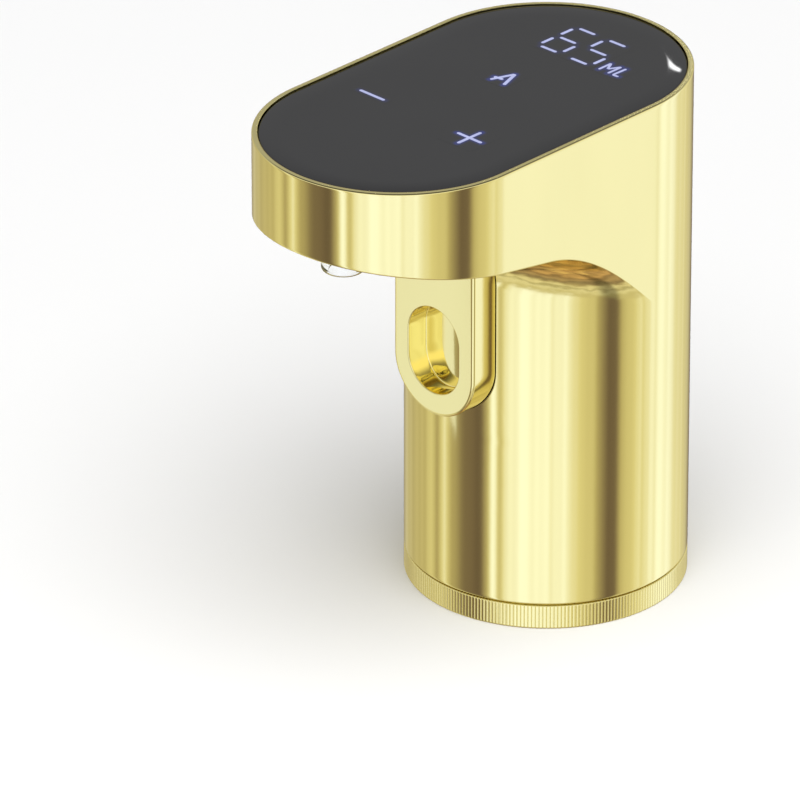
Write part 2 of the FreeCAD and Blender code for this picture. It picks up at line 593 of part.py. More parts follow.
def base_ring():
    """The knurled ring, with a collar inside the shell whose lip has three lands for the bayonet."""
    count = int(NAMES["ring_teeth"])
    tips = [Rotation(Vector(0, 0, 1), ROUND * i / count).multVec(Vector(NAMES["shell_radius"], 0, 0))
            for i in range(count)]
    root = NAMES["shell_radius"] - NAMES["tooth_depth"]
    roots = [Rotation(Vector(0, 0, 1), ROUND * (i + 0.5) / count).multVec(Vector(root, 0,
                                                                                 0)) for i in range(count)]
    corners = [corner for pair in zip(tips, roots) for corner in pair]
    outline = doc.addObject("Part::Feature", "ring_outline")
    outline.Shape = Part.makePolygon(corners + corners[:1])
    knurled = doc.addObject("Part::Extrusion", "ring_knurled")
    knurled.Base = outline
    knurled.DirMode = "Custom"
    knurled.Dir = Vector(0, 0, 1)
    knurled.Solid = True
    bind(knurled, "LengthFwd", "ring_height")
    collar_height = f"{FLANGE_BOTTOM} - running_gap - ring_height"
    collar = tube("ring_collar", f"{INNER} - running_gap", f"{INNER} - running_gap - collar_wall",
                  collar_height, 0, 0,
                  "ring_height")
    lands = [sector(f"ring_land_{turn}", f"{HOUSING_RADIUS} + running_gap",
                    f"{INNER} - running_gap - collar_wall / 2",
                    "land_angle", turn, f"{FLANGE_BOTTOM} - running_gap - lip_height", "lip_height")
             for turn in SCREW_ANGLES]
    opening = rod("ring_opening", "opening_radius", "ring_height", 0, 0, 0)
    return node(cut("ring_cut", fuse("ring_whole", knurled, collar, *lands), opening), "base_ring")


def socket_housing():
    """The fixed tube round the carrier: bayonet lugs below, a flange on the shell's bosses, a deck on top."""
    body = revolved("housing_body", [
        (HOUSING_BORE, "ring_height + lug_lift"),
        (HOUSING_RADIUS, "ring_height + lug_lift"),
        (HOUSING_RADIUS, FLANGE_BOTTOM),
        (f"{INNER} - fit_gap", FLANGE_BOTTOM),
        (f"{INNER} - fit_gap", FLANGE_TOP),
        (HOUSING_RADIUS, FLANGE_TOP),
        (HOUSING_RADIUS, DECK_TOP),
        ("manifold_radius + fit_gap", DECK_TOP),
        ("manifold_radius + fit_gap", ROOF_TOP),
        (HOUSING_BORE, ROOF_TOP),
    ])
    lugs = [sector(f"housing_lug_{turn}", f"{HOUSING_RADIUS} - housing_wall / 2",
                   f"{HOUSING_RADIUS} + lug_reach",
                   "lug_angle", turn, "ring_height + lug_lift", "lug_height") for turn in SCREW_ANGLES]
    holes = []
    for angle in SCREW_ANGLES:
        spot = (f"{BOSS_CIRCLE} * cos({angle})", f"{BOSS_CIRCLE} * sin({angle})", FLANGE_BOTTOM)
        holes.append(rod(f"flange_hole_{angle}", "screw_radius + slide_gap", "flange_height", *spot))
        holes.append(rod(f"flange_sink_{angle}", "screw_head_radius + fit_gap", "screw_head_height", *spot))
    for angle in FRAME_SCREW_ANGLES:
        holes.append(rod(f"deck_pilot_{angle}", "screw_radius", "deck_height", *frame_screw_spot(angle),
                         ROOF_TOP))
    return node(cut("housing_cut", fuse("housing_whole", body, *lugs), *holes), "socket_housing")


def frame_screw_spot(angle):
    """Where a screw of the component frame stands."""
    return f"frame_screw_circle * cos({angle})", f"frame_screw_circle * sin({angle})"


def housing_screws():
    """Three screws from below through the housing's flange into the shell's bosses."""
    screws = [screw(f"housing_screw_{angle}", "screw_length - screw_head_height",
                    f"{BOSS_CIRCLE} * cos({angle})",
                    f"{BOSS_CIRCLE} * sin({angle})", FLANGE_BOTTOM) for angle in SCREW_ANGLES]
    return node(group("housing_screw_set", screws), "housing_screws")


def stopper_carrier():
    """The removable cup that carries the stopper."""
    return node(revolved("carrier_body", [
        ("opening_radius", SHELL_BOTTOM),
        (CUP_RADIUS, SHELL_BOTTOM),
        (CUP_RADIUS, ROOF_TOP),
        ("core_radius", ROOF_TOP),
        ("core_radius", "cup_depth"),
        ("opening_radius", "cup_depth"),
    ]), "stopper_carrier")


def stopper_core():
    """The rigid two-way core: liquid in the middle, air in three passages round it, a barb below."""
    body = revolved("core_body", [
        ("wine_bore", "barb_tip"),
        ("inlet_radius", "barb_tip"),
        ("inlet_barb", "barb_tip + wine_bore"),
        ("inlet_radius", "barb_tip + wine_bore"),
        ("inlet_radius", "core_tip - core_flange_height"),
        ("core_radius + core_flange_height", "core_tip - core_flange_height"),
        ("core_radius + core_flange_height", "core_tip"),
        ("core_radius", "core_tip"),
        ("core_radius", "cup_depth - core_flange_height"),
        ("core_flange_radius", "cup_depth - core_flange_height"),
        ("core_flange_radius", "cup_depth"),
        ("core_radius", "cup_depth"),
        ("core_radius", f"{ROOF_TOP} + core_neck"),
        ("spigot_radius", f"{ROOF_TOP} + core_neck"),
        ("spigot_radius", f"{ROOF_TOP} + core_neck + spigot_length"),
        ("wine_bore", f"{ROOF_TOP} + core_neck + spigot_length"),
    ])
    passages = [rod(f"air_passage_{angle}", "air_bore", "total_height", f"air_circle * cos({angle})",
                    f"air_circle * sin({angle})", 0) for angle in SCREW_ANGLES]
    return node(cut("core_cut", body, *passages), "stopper_core")


def bottle_stopper():
    """The silicone plug, with three ribs and a wide lip on top."""
    top = "(cup_depth - core_flange_height)"
    points = [("core_radius", "core_tip"), ("stopper_root", "core_tip")]
    for i in range(STOPPER_RIBS):
        low = f"core_tip + rib_start + {i} * rib_pitch"
        points += [("stopper_root", low), ("stopper_rib", f"{low} + rib_slope"),
                   ("stopper_rib", f"{low} + rib_height"), ("stopper_root", f"{low} + rib_height")]
    points += [("stopper_root", f"{top} - lip_thickness"), ("stopper_lip", f"{top} - lip_thickness"),
               ("stopper_lip", top), ("core_radius", top)]
    return node(revolved("stopper_body", points), "bottle_stopper")


def core_seal():
    """The seal ring round the core's spigot, in the manifold's gland."""
    ring = doc.addObject("Part::Torus", "seal_ring")
    bind(ring, "Radius1", "spigot_radius + seal_wire")
    bind(ring, "Radius2", "seal_wire")
    return node(place(ring, 0, 0, f"{GLAND_BOTTOM} + seal_wire"), "core_seal")


def manifold():
    """The fixed block that joins the core's liquid and air passages to the two hoses."""
    hub = rod("manifold_hub", "manifold_radius", f"manifold_top - {ROOF_TOP}", 0, 0, ROOF_TOP)
    front = block("manifold_front", ("-arm_half", "arm_half"), ("wine_port_y - arm_half", 0),
                  ("arm_bottom", "manifold_top"))
    rear = block("manifold_rear", (0, "air_port_x + arm_half"),
                 ("air_port_y - 2 * arm_half", "air_port_y + arm_half / 2"),
                 ("arm_bottom", "manifold_top"))
    side = block("manifold_side", (0, "2 * arm_half"), (0, "air_port_y"), ("arm_bottom", "manifold_top"))
    wine_barb = rod("wine_barb", "riser_bore", "barb_height", 0, "wine_port_y", "manifold_top")
    air_barb = rod("air_barb", "hose_bore", "barb_height", "air_port_x", "air_port_y", "manifold_top")
    well_top = f"{SPIGOT_TOP} + fit_gap + wine_bore"
    throat = revolved("manifold_throat", [
        (0, "cup_depth"),
        ("core_radius + fit_gap", "cup_depth"),
        ("core_radius + fit_gap", f"{ROOF_TOP} + core_neck + air_room"),
        ("spigot_radius + fit_gap", f"{ROOF_TOP} + core_neck + air_room"),
        ("spigot_radius + fit_gap", GLAND_BOTTOM),
        ("spigot_radius + 2 * seal_wire", GLAND_BOTTOM),
        ("spigot_radius + 2 * seal_wire", f"{GLAND_BOTTOM} + 2 * seal_wire"),
        ("spigot_radius + fit_gap", f"{GLAND_BOTTOM} + 2 * seal_wire"),
        ("spigot_radius + fit_gap", f"{SPIGOT_TOP} + fit_gap"),
        ("wine_bore", f"{SPIGOT_TOP} + fit_gap"),
        ("wine_bore", well_top),
        (0, well_top),
    ])
    across_z = f"{SPIGOT_TOP} + fit_gap + wine_bore / 2"
    across = rod("wine_across", "wine_bore / 2 - slide_gap", "wine_bore / 3 - wine_port_y", 0,
                 "wine_port_y - wine_bore / 3", across_z, ALONG_Y)
    upward = rod("wine_upward", "wine_bore / 2", "stand_top", 0, "wine_port_y", across_z)
    duct_z = f"{ROOF_TOP} + core_neck + air_room / 2"
    towards = Vector(NAMES["air_port_x"], NAMES["air_port_y"], 0)
    reach = "sqrt(air_port_x * air_port_x + air_port_y * air_port_y)"
    duct = rod("air_across", "hose_bore / 2 - slide_gap", f"{reach} + hose_bore / 3", 0, 0, duct_z,
               Rotation(Vector(0, 0, 1), towards))
    rise = rod("air_upward", "hose_bore / 2", "stand_top", "air_port_x", "air_port_y", duct_z)
    part = fuse("manifold_whole", hub, front, rear, side, wine_barb, air_barb)
    for passage in (throat, across, upward, duct, rise):
        part = cut(f"manifold_less_{passage.Name}", part, passage)
    return node(part, "manifold")


def wine_riser_tube():
    """The silicone tube up the column and forward along the head to the aerator chamber."""
    run = NAMES["total_height"] - NAMES["run_drop"]
    chamber = NAMES["chamber_radius"] - NAMES["head_reach"] - NAMES["nozzle_ahead"]
    foot = Vector(0, NAMES["wine_port_y"], NAMES["manifold_top"])
    corner = Vector(0, NAMES["wine_port_y"], run)
    end = Vector(0, chamber, run)
    return node(piped("riser_tube", [foot, corner, end], NAMES["riser_bend"], NAMES["riser_radius"],
                      NAMES["riser_bore"]), "wine_riser_tube")


def air_hose():
    """The air hose from the relief valve's rear barb down to the manifold."""
    back = NAMES["valve_y"] + NAMES["valve_depth"]
    level = valve_level() + NAMES["valve_hose_up"]
    start = Vector(NAMES["air_port_x"], back, level)
    corner = Vector(NAMES["air_port_x"], NAMES["air_port_y"], level)
    foot = Vector(NAMES["air_port_x"], NAMES["air_port_y"], NAMES["manifold_top"])
    return node(piped("air_tube", [start, corner, foot], NAMES["hose_bend"], NAMES["hose_radius"],
                      NAMES["hose_bore"]), "air_hose")


def component_frame():
    """The frame above the socket: deck, stands for motor and battery, front wall, spine and rear posts."""
    deck = rod("frame_deck", f"{INNER} - frame_inset", "frame_plate", 0, 0, DECK_TOP)
    front = block("frame_front", ("-front_wall_half", "front_wall_half"),
                  (FRONT_WALL_Y, f"{FRONT_WALL_Y} + front_wall_thick"), (DECK_TOP, FRONT_WALL_TOP))
    spine = block("frame_spine", (SPINE_X, f"{SPINE_X} + spine_thick"),
                  ("wine_port_y + 2 * riser_radius", "air_port_y - hose_radius"),
                  (DECK_TOP, "spine_top"))
    stands = [rod(f"frame_stand_{name}", "stand_wall", f"stand_top - {DECK_TOP}", x, "pump_y", DECK_TOP)
              for name, x in (("motor", "pump_x"), ("battery", BATTERY_X))]
    posts = [block(f"frame_post_{side + 1}",
                   (f"{side} * post_x - post_half", f"{side} * post_x + post_half"),
                   ("board_y - post_depth", "board_y"), (DECK_TOP, BOARD_TOP))
             for side in (-1, 1)]
    room = [
        rod("hub_room", "manifold_radius + fit_gap", f"manifold_top + fit_gap - {DECK_TOP}", 0, 0, DECK_TOP),
        block("front_room", ("-arm_half - fit_gap", "arm_half + fit_gap"),
              ("wine_port_y - arm_half - fit_gap", 0),
              (DECK_TOP, "manifold_top + fit_gap")),
        block("rear_room", ("-fit_gap", "air_port_x + arm_half + fit_gap"),
              ("air_port_y - 2 * arm_half - fit_gap", "air_port_y + arm_half / 2 + fit_gap"),
              (DECK_TOP, "manifold_top + fit_gap")),
        block("side_room", ("-fit_gap", "2 * arm_half + fit_gap"), (0, "air_port_y"),
              (DECK_TOP, "manifold_top + fit_gap")),
        rod("clamp_room", "motor_radius + band_wall + fit_gap", "band_height + 2 * fit_gap", "pump_x",
            "pump_y", "band_z - fit_gap"),
    ]
    holes = [rod(f"frame_hole_{angle}", "screw_radius + slide_gap", "frame_plate", *frame_screw_spot(angle),
                 DECK_TOP)
             for angle in FRAME_SCREW_ANGLES]
    heads = [rod(f"frame_sink_{angle}", "screw_head_radius + fit_gap", "stand_top",
                 *frame_screw_spot(angle), FRAME_TOP)
             for angle in FRAME_SCREW_ANGLES]
    heads += [rod(f"post_pilot_{side + 1}_{i}", "screw_radius", "post_depth", f"{side} * post_x",
                  "board_y - post_depth", z, ALONG_Y)
              for side in (-1, 1) for i, z in enumerate(BOARD_SCREW_HEIGHTS)]
    bridge = block("frame_bridge", ("pump_x", BATTERY_X),
                   ("pump_y - stand_wall / 2", "pump_y + stand_wall / 2"),
                   ("manifold_top + fit_gap", "stand_top"))
    arm = block("frame_arm", ("valve_x", "front_wall_half"), (FRONT_WALL_Y, "valve_y"),
                (OUTLET_Z, f"{OUTLET_Z} + arm_half"))
    whole = fuse("frame_whole", deck, front, spine, bridge, arm, *stands, *posts)
    return node(cut("frame_cut", whole, *room, *holes, *heads),
                "component_frame")


def frame_screws():
    """Three screws that hold the component frame on the socket housing's deck."""
    screws = [screw(f"frame_screw_{angle}", "frame_plate + deck_height - running_gap",
                    *frame_screw_spot(angle),
                    f"{FRAME_TOP} + screw_head_height", DOWNWARD) for angle in FRAME_SCREW_ANGLES]
    return node(group("frame_screw_set", screws), "frame_screws")


def motor_can():
    """The motor's steel can, closed on top round the shaft, with a pressed end cap below."""
    return node(revolved("can_body", [
        ("shaft_radius + slide_gap", "stand_top"),
        ("motor_radius", "stand_top"),
        ("motor_radius", PUMP_Z),
        ("shaft_radius + slide_gap", PUMP_Z),
        ("shaft_radius + slide_gap", f"{PUMP_Z} - 2 * can_wall"),
        ("motor_radius - can_wall", f"{PUMP_Z} - 2 * can_wall"),
        ("motor_radius - can_wall", "stand_top + 2 * can_wall"),
        ("shaft_radius + slide_gap", "stand_top + 2 * can_wall"),
    ], "pump_x", "pump_y"), "motor_can")


def motor_magnets():
    """Two curved magnets on the can's wall."""
    ring = tube("magnet_ring", "motor_radius - can_wall - slide_gap",
                "motor_radius - can_wall - magnet_wall", "rotor_height",
                "pump_x", "pump_y", "rotor_z")
    slot = block("magnet_slot", ("pump_x - motor_radius", "pump_x + motor_radius"),
                 ("pump_y - magnet_gap / 2", "pump_y + magnet_gap / 2"),
                 ("rotor_z", "rotor_z + rotor_height"))
    return node(cut("magnet_cut", ring, slot), "motor_magnets")


def motor_rotor():
    """The rotor: a shaft with its windings, which turns the eccentric."""
    return node(revolved("rotor_body", [
        (0, "stand_top + can_wall"),
        ("shaft_radius", "stand_top + can_wall"),
        ("shaft_radius", "rotor_z"),
        ("rotor_radius", "rotor_z"),
        ("rotor_radius", "rotor_z + rotor_height"),
        ("shaft_radius", "rotor_z + rotor_height"),
        ("shaft_radius", f"{PUMP_Z} + pump_wall + running_gap + eccentric_height"),
        (0, f"{PUMP_Z} + pump_wall + running_gap + eccentric_height"),
    ], "pump_x", "pump_y"), "motor_rotor")


def eccentric():
    """The eccentric on the shaft's end, with its crank pin."""
    bottom = f"{PUMP_Z} + pump_wall + running_gap"
    disc = rod("eccentric_disc", "eccentric_radius", "eccentric_height", "pump_x", "pump_y", bottom)
    pin = rod("eccentric_pin", "crank_radius", "crank_height", "pump_x + crank_offset", "pump_y",
              f"{bottom} + eccentric_height")
    bore = rod("eccentric_bore", "shaft_radius", "eccentric_height", "pump_x", "pump_y", bottom)
    return node(fuse("eccentric_whole", cut("eccentric_pierced", disc, bore), pin), "eccentric")


def pump_housing():
    """The cup on the motor in which the eccentric turns, with two saddles for the wobble plate."""
    cup = revolved("pump_cup", [
        ("2 * shaft_radius", PUMP_Z),
        ("pump_radius", PUMP_Z),
        ("pump_radius", DIAPHRAGM_Z),
        ("pump_radius - pump_wall", DIAPHRAGM_Z),
        ("pump_radius - pump_wall", f"{PUMP_Z} + pump_wall"),
        ("2 * shaft_radius", f"{PUMP_Z} + pump_wall"),
    ], "pump_x", "pump_y")
    inner, outer = "wobble_radius + saddle_gap", "pump_radius - pump_wall / 2"
    saddles = [block(f"saddle_{side}", x, ("pump_y - saddle_half", "pump_y + saddle_half"),
                     (f"{WOBBLE_Z} - saddle_depth", WOBBLE_Z))
               for side, x in (("left", (f"pump_x - ({outer})", f"pump_x - ({inner})")),
                               ("right", (f"pump_x + {inner}", f"pump_x + {outer}")))]
    notches = wobble_stubs("notch", "stub_radius + slide_gap", "stub_reach + slide_gap")
    return node(cut("pump_housing_cut", fuse("pump_housing_whole", cup, *saddles), *notches),
                "pump_housing")


def wobble_stubs(name, radius, reach):
    """The two round stubs in line, left and right of the wobble plate, about which it nods."""
    return [rod(f"{name}_{side}", radius, f"stub_root + {reach}", start, "pump_y", WOBBLE_Z, ALONG_X)
            for side, start in (("left", f"pump_x - wobble_radius - ({reach})"),
                                ("right", "pump_x + wobble_radius - stub_root"))]


def wobble_plate():
    """The nodding plate under the diaphragm, with its stubs and the hub that the crank pin drives."""
    top = f"{WOBBLE_Z} + wobble_thick / 2"
    body = revolved("wobble_body", [
        ("hub_bore", f"{top} - wobble_thick - hub_height"),
        ("hub_radius", f"{top} - wobble_thick - hub_height"),
        ("hub_radius", f"{top} - wobble_thick"),
        ("wobble_radius", f"{top} - wobble_thick"),
        ("wobble_radius", top),
        (0, top),
        (0, f"{top} - wobble_thick"),
        ("hub_bore", f"{top} - wobble_thick"),
    ], "pump_x", "pump_y")
    return node(fuse("wobble_whole", body, *wobble_stubs("stub", "stub_radius", "stub_reach")),
                "wobble_plate")


def diaphragm():
    """The rubber diaphragm clamped between the pump's housing and its valve plate."""
    disc = rod("diaphragm_disc", "pump_radius", "diaphragm_thick", "pump_x", "pump_y", DIAPHRAGM_Z)
    slits = [block(f"diaphragm_slit_{side + 1}", (f"pump_x + {side} * valve_circle - valve_port",
                                                  f"pump_x + {side} * valve_circle + valve_port"),
                   ("pump_y - valve_port / 2", "pump_y + valve_port / 2"),
                   (f"{DIAPHRAGM_Z} + diaphragm_thick / 2", VALVE_PLATE_Z)) for side in (-1, 1)]
    return node(cut("diaphragm_cut", disc, *slits), "diaphragm")


def valve_plate():
    """The plate with the pump's inlet and outlet ports."""
    disc = rod("plate_disc", "pump_radius", "valve_plate_thick", "pump_x", "pump_y", VALVE_PLATE_Z)
    ports = [rod(f"plate_port_{angle}", "valve_port", "valve_plate_thick",
                 f"pump_x + valve_circle * cos({angle})",
                 f"pump_y + valve_circle * sin({angle})", VALVE_PLATE_Z) for angle in SCREW_ANGLES]
    return node(cut("plate_cut", disc, *ports), "valve_plate")


def pump_head():
    """The pump's cap, with its outlet barb towards the relief valve."""
    body = revolved("head_cap", [
        (0, f"{PUMP_HEAD_Z} + pump_wall"),
        ("pump_radius - pump_wall", f"{PUMP_HEAD_Z} + pump_wall"),
        ("pump_radius - pump_wall", PUMP_HEAD_Z),
        ("pump_radius", PUMP_HEAD_Z),
        ("pump_radius", f"{PUMP_HEAD_Z} + pump_head_height"),
        (0, f"{PUMP_HEAD_Z} + pump_head_height"),
    ], "pump_x", "pump_y")
    barb = rod("outlet_barb", "hose_bore", "barb_height + pump_wall", "pump_x + pump_radius - pump_wall",
               "pump_y",
               OUTLET_Z, ALONG_X)
    bore = rod("outlet_bore", "hose_bore / 2", "pump_radius + barb_height", "pump_x + pump_radius / 2",
               "pump_y",
               OUTLET_Z, ALONG_X)
    return node(cut("head_cut", fuse("head_whole", body, barb), bore), "pump_head")


def outlet_hose():
    """The short hose between the pump's outlet and the relief valve."""
    start = "(pump_x + pump_radius)"
    length = f"valve_x - {start}"
    return node(tube("outlet_tube", "hose_radius", "hose_bore", length, start, "pump_y", OUTLET_Z, ALONG_X),
                "outlet_hose")


def valve_level():
    """Height of the relief valve's lower face, which follows from the stack of motor and pump."""
    stack = ("stand_top", "motor_height", "pump_height", "diaphragm_thick", "valve_plate_thick",
             "outlet_lift")
    return sum(NAMES[name] for name in stack) - NAMES["valve_below"]


def relief_valve_body():
    """The relief valve's block: plunger chamber, inlet from the pump, rear barb for the air hose."""
    body = block("valve_block", ("valve_x", "valve_x + valve_width"), ("valve_y", "valve_y + valve_depth"),
                 (VALVE_Z, f"{VALVE_Z} + valve_height"))
    chamber = rod("valve_chamber", "plunger_radius + slide_gap", "valve_height", VALVE_MIDDLE_X,
                  VALVE_MIDDLE_Y,
                  PLUNGER_Z)
    lid = rod("valve_lid", "plunger_radius + 2 * slide_gap", "pump_wall", VALVE_MIDDLE_X, VALVE_MIDDLE_Y,
              f"{VALVE_Z} + valve_height - pump_wall")
    inlet = rod("valve_inlet", "hose_bore / 2", "valve_width / 2", "valve_x", "pump_y", OUTLET_Z, ALONG_X)
    barb = rod("valve_barb", "hose_bore", "barb_height / 2", "air_port_x", "valve_y + valve_depth",
               VALVE_HOSE_Z,
               ALONG_Y)
    outlet = rod("valve_outlet", "hose_bore / 2", "valve_depth / 2 + barb_height", "air_port_x",
                 "valve_y + valve_depth / 2", VALVE_HOSE_Z, ALONG_Y)
    hollow = cut("valve_hollow", body, chamber)
    return node(cut("valve_cut", fuse("valve_whole", hollow, lid, barb), inlet, outlet), "relief_valve_body")


def relief_valve_plunger():
    """The plunger that closes the relief valve's seat until the coil lifts it."""
    return node(rod("valve_plunger", "plunger_radius", "plunger_height", VALVE_MIDDLE_X, VALVE_MIDDLE_Y,
                    f"{PLUNGER_Z} + slide_gap"), "relief_valve_plunger")


def relief_valve_spring():
    """The spring that presses the plunger on its seat."""
    foot = Vector(NAMES["valve_x"] + NAMES["valve_width"] / 2, NAMES["valve_y"] + NAMES["valve_depth"] / 2,
                  valve_level() + NAMES["seat_depth"] + NAMES["plunger_height"] + 2 * NAMES["slide_gap"])
    top = valve_level() + NAMES["valve_height"] - NAMES["pump_wall"] - NAMES["slide_gap"]
    return node(coil("valve_coil", NAMES["valve_spring_radius"], NAMES["spring_wire"],
                     NAMES["valve_spring_turns"],
                     top - foot.z, foot, Rotation()), "relief_valve_spring")


def motor_clamp():
    """The band that holds the motor's can on the frame's spine."""
    return node(band("clamp", "pump_x", "motor_radius", "pump_x", SPINE_X), "motor_clamp")


def battery_strap():
    """The band that holds the battery on the frame's spine."""
    return node(band("strap", BATTERY_X, "battery_radius", f"{SPINE_X} + spine_thick", BATTERY_X),
                "battery_strap")


def band(name, x, radius, left, right):
    """A band round a cylinder, with a lug that reaches the spine."""
    lug = block(name + "_lug", (left, right), ("pump_y - band_height / 2", "pump_y + band_height / 2"),
                ("band_z", "band_z + band_height"))
    ring = rod(name + "_ring", f"{radius} + band_wall", "band_height", x, "pump_y", "band_z")
    bore = rod(name + "_bore", radius, "band_height", x, "pump_y", "band_z")
    return cut(name + "_cut", fuse(name + "_whole", lug, ring), bore)


def battery_cell():
    """The rechargeable cell, with its raised contact."""
    cell = rod("cell_can", "battery_radius", "battery_length - can_wall", BATTERY_X, "pump_y", "stand_top")
    tip = rod("cell_contact", "contact_radius", "can_wall", BATTERY_X, "pump_y",
              "stand_top + battery_length - can_wall")
    return node(fuse("cell_whole", cell, tip), "battery_cell")


def main_board():
    """The upright circuit board behind the pump and the battery."""
    plate = block("board_plate", ("-board_half", "board_half"), ("board_y", BOARD_BACK),
                  ("board_bottom", BOARD_TOP))
    holes = [rod(f"board_hole_{side + 1}_{i}", "screw_radius + slide_gap", "board_thick",
                 f"{side} * post_x", "board_y",
                 z, ALONG_Y) for side in (-1, 1) for i, z in enumerate(BOARD_SCREW_HEIGHTS)]
    return node(cut("board_cut", plate, *holes), "main_board")


def main_board_chips():
    """The larger components on the board's rear face."""
    chips = []
    for side, level in CHIP_PLACES:
        x = f"{side} * chip_x"
        z = f"chip_low + {level} * chip_size"
        chips.append(block(f"chip_{level}", (f"{x} - chip_size / 2", f"{x} + chip_size / 2"),
                           (BOARD_BACK, f"{BOARD_BACK} + chip_thick"),
                           (f"{z} - chip_size / 2", f"{z} + chip_size / 2")))
    return node(group("chip_set", chips), "main_board_chips")


def buzzer():
    """The round buzzer on the board's rear face."""
    return node(rod("buzzer_can", "buzzer_radius", "buzzer_depth", "buzzer_x", BOARD_BACK, "buzzer_z",
                    ALONG_Y), "buzzer")


def board_screws():
    """Four screws that hold the main board on the frame's rear posts."""
    screws = [screw(f"board_screw_{side + 1}_{i}", "board_thick + post_depth", f"{side} * post_x",
                    f"{BOARD_BACK} + screw_head_height", z, BACKWARD)
              for side in (-1, 1) for i, z in enumerate(BOARD_SCREW_HEIGHTS)]
    return node(group("board_screw_set", screws), "board_screws")


def usb_socket():
    """The charging socket on the main board, its mouth in the shell's rear opening."""
    mouth = "(shell_radius - usb_setback)"
    shell = socket_space("socket_shell", "0", BOARD_BACK, mouth)
    hollow = socket_space("socket_hollow", "-usb_wall", f"{BOARD_BACK} + usb_wall", "shell_radius + 1")
    tongue = block("socket_tongue", ("usb_high - usb_half", "usb_half - usb_high"),
                   (BOARD_BACK, f"{mouth} - usb_high / 2"), (f"{USB_MIDDLE} - usb_wall",
                                                             f"{USB_MIDDLE} + usb_wall"))
    return node(fuse("socket_whole", cut("socket_pierced", shell, hollow), tongue), "usb_socket")


def board_link():
    """The header that joins the display board to the main board."""
    return node(block("link_block", ("-link_half", "link_half"), ("board_y - link_depth", "board_y"),
                      (f"{BOARD_TOP} - link_length", TRAY_FLOOR_TOP)), "board_link")


def tongue(name, half, bottom, top, front, back):
    """A block with a round lower end that faces along Y."""
    depth = f"({back}) - ({front})"
    end = rod(name + "_end", half, depth, 0, front, bottom, ALONG_Y)
    middle = block(name + "_middle", (f"-({half})", half), (front, back), (bottom, top))
    return fuse(name, middle, end)


def push_paddle():
    """The push paddle: a flat front with a racetrack recess down to the column's own curve."""
    solid = tongue("paddle_solid", "paddle_half", PADDLE_LOW, PADDLE_TOP, f"-{PADDLE_FRONT}",
                   f"-{PADDLE_BACK}")
    recess = cut("paddle_recess", facing_track("recess_block", "recess_half", "recess_bottom + recess_half",
                                               "recess_top - recess_half", f"-{PADDLE_FRONT} - shell_wall",
                                               f"-{PADDLE_BACK}"),
                 rod("recess_back", "shell_radius", "2 * total_height", 0, 0, "-total_height"))
    hollow = common("paddle_hollow", tongue("hollow_block", "paddle_half - paddle_skirt", PADDLE_LOW,
                                            f"{PIVOT_Z} - hollow_drop", f"-{PADDLE_FRONT}",
                                            f"-{PADDLE_BACK} + shell_wall"),
                    rod("hollow_front", "shell_radius - paddle_web", "2 * total_height", 0, 0,
                        "-total_height"))
    boss_back = f"({FRONT_WALL_Y} - switch_depth - button_out - running_gap)"
    boss_front = "(paddle_web / 2 - shell_radius)"
    boss = rod("paddle_boss", "pad_radius", f"{boss_back} - {boss_front}", 0, boss_front, "button_z",
               ALONG_Y)
    eye = rod("paddle_eye", "pivot_radius + slide_gap", "2 * paddle_half", "-paddle_half", PIVOT_Y,
              PIVOT_Z,
              ALONG_X)
    return node(fuse("paddle_whole", cut("paddle_cut", solid, recess, hollow, eye), boss), "push_paddle")


def paddle_pin():
    """The pin on which the paddle turns."""
    reach = f"({PADDLE_GAP} + ear_thick)"
    return node(rod("pin_rod", "pivot_radius", f"2 * {reach}", f"-{reach}", PIVOT_Y, PIVOT_Z, ALONG_X),
                "paddle_pin")


def pin_bracket():
    """Two ears on a cross plate that hold the paddle's pin."""
    parts = [block("bracket_plate", (f"-{PADDLE_GAP} - ear_thick", f"{PADDLE_GAP} + ear_thick"),
                   (f"{FRONT_WALL_Y} - shell_wall", FRONT_WALL_Y),
                   (f"{PIVOT_Z} - ear_radius", f"{PIVOT_Z} + ear_radius"))]
    for name, low, high in (("left", f"-{PADDLE_GAP} - ear_thick", f"-{PADDLE_GAP}"),
                            ("right", PADDLE_GAP, f"{PADDLE_GAP} + ear_thick")):
        parts.append(block(f"bracket_arm_{name}", (low, high), (PIVOT_Y, FRONT_WALL_Y),
                           (f"{PIVOT_Z} - ear_radius", f"{PIVOT_Z} + ear_radius")))
        parts.append(rod(f"bracket_ear_{name}", "ear_radius", "ear_thick", low, PIVOT_Y, PIVOT_Z,
                         ALONG_X))
    reach = f"({PADDLE_GAP} + ear_thick)"
    bore = rod("bracket_bore", "pivot_radius", f"2 * {reach}", f"-{reach}", PIVOT_Y, PIVOT_Z, ALONG_X)
    return node(cut("bracket_cut", fuse("bracket_whole", *parts), bore), "pin_bracket")


def paddle_switch():
    """The small switch on the frame's front wall."""
    body = block("switch_block", ("-switch_half", "switch_half"),
                 (f"{FRONT_WALL_Y} - switch_depth", FRONT_WALL_Y),
                 ("button_z - switch_high / 2", "button_z + switch_high / 2"))
    bore = rod("switch_bore", "button_radius + slide_gap", "switch_depth - switch_floor", 0,
               f"{FRONT_WALL_Y} - switch_depth", "button_z", ALONG_Y)
    return node(cut("switch_cut", body, bore), "paddle_switch")


def switch_plunger():
    """The switch's plunger, pushed by the boss behind the paddle."""
    return node(rod("plunger_rod", "button_radius", "button_out + button_in", 0,
                    f"{FRONT_WALL_Y} - switch_depth - button_out", "button_z", ALONG_Y), "switch_plunger")


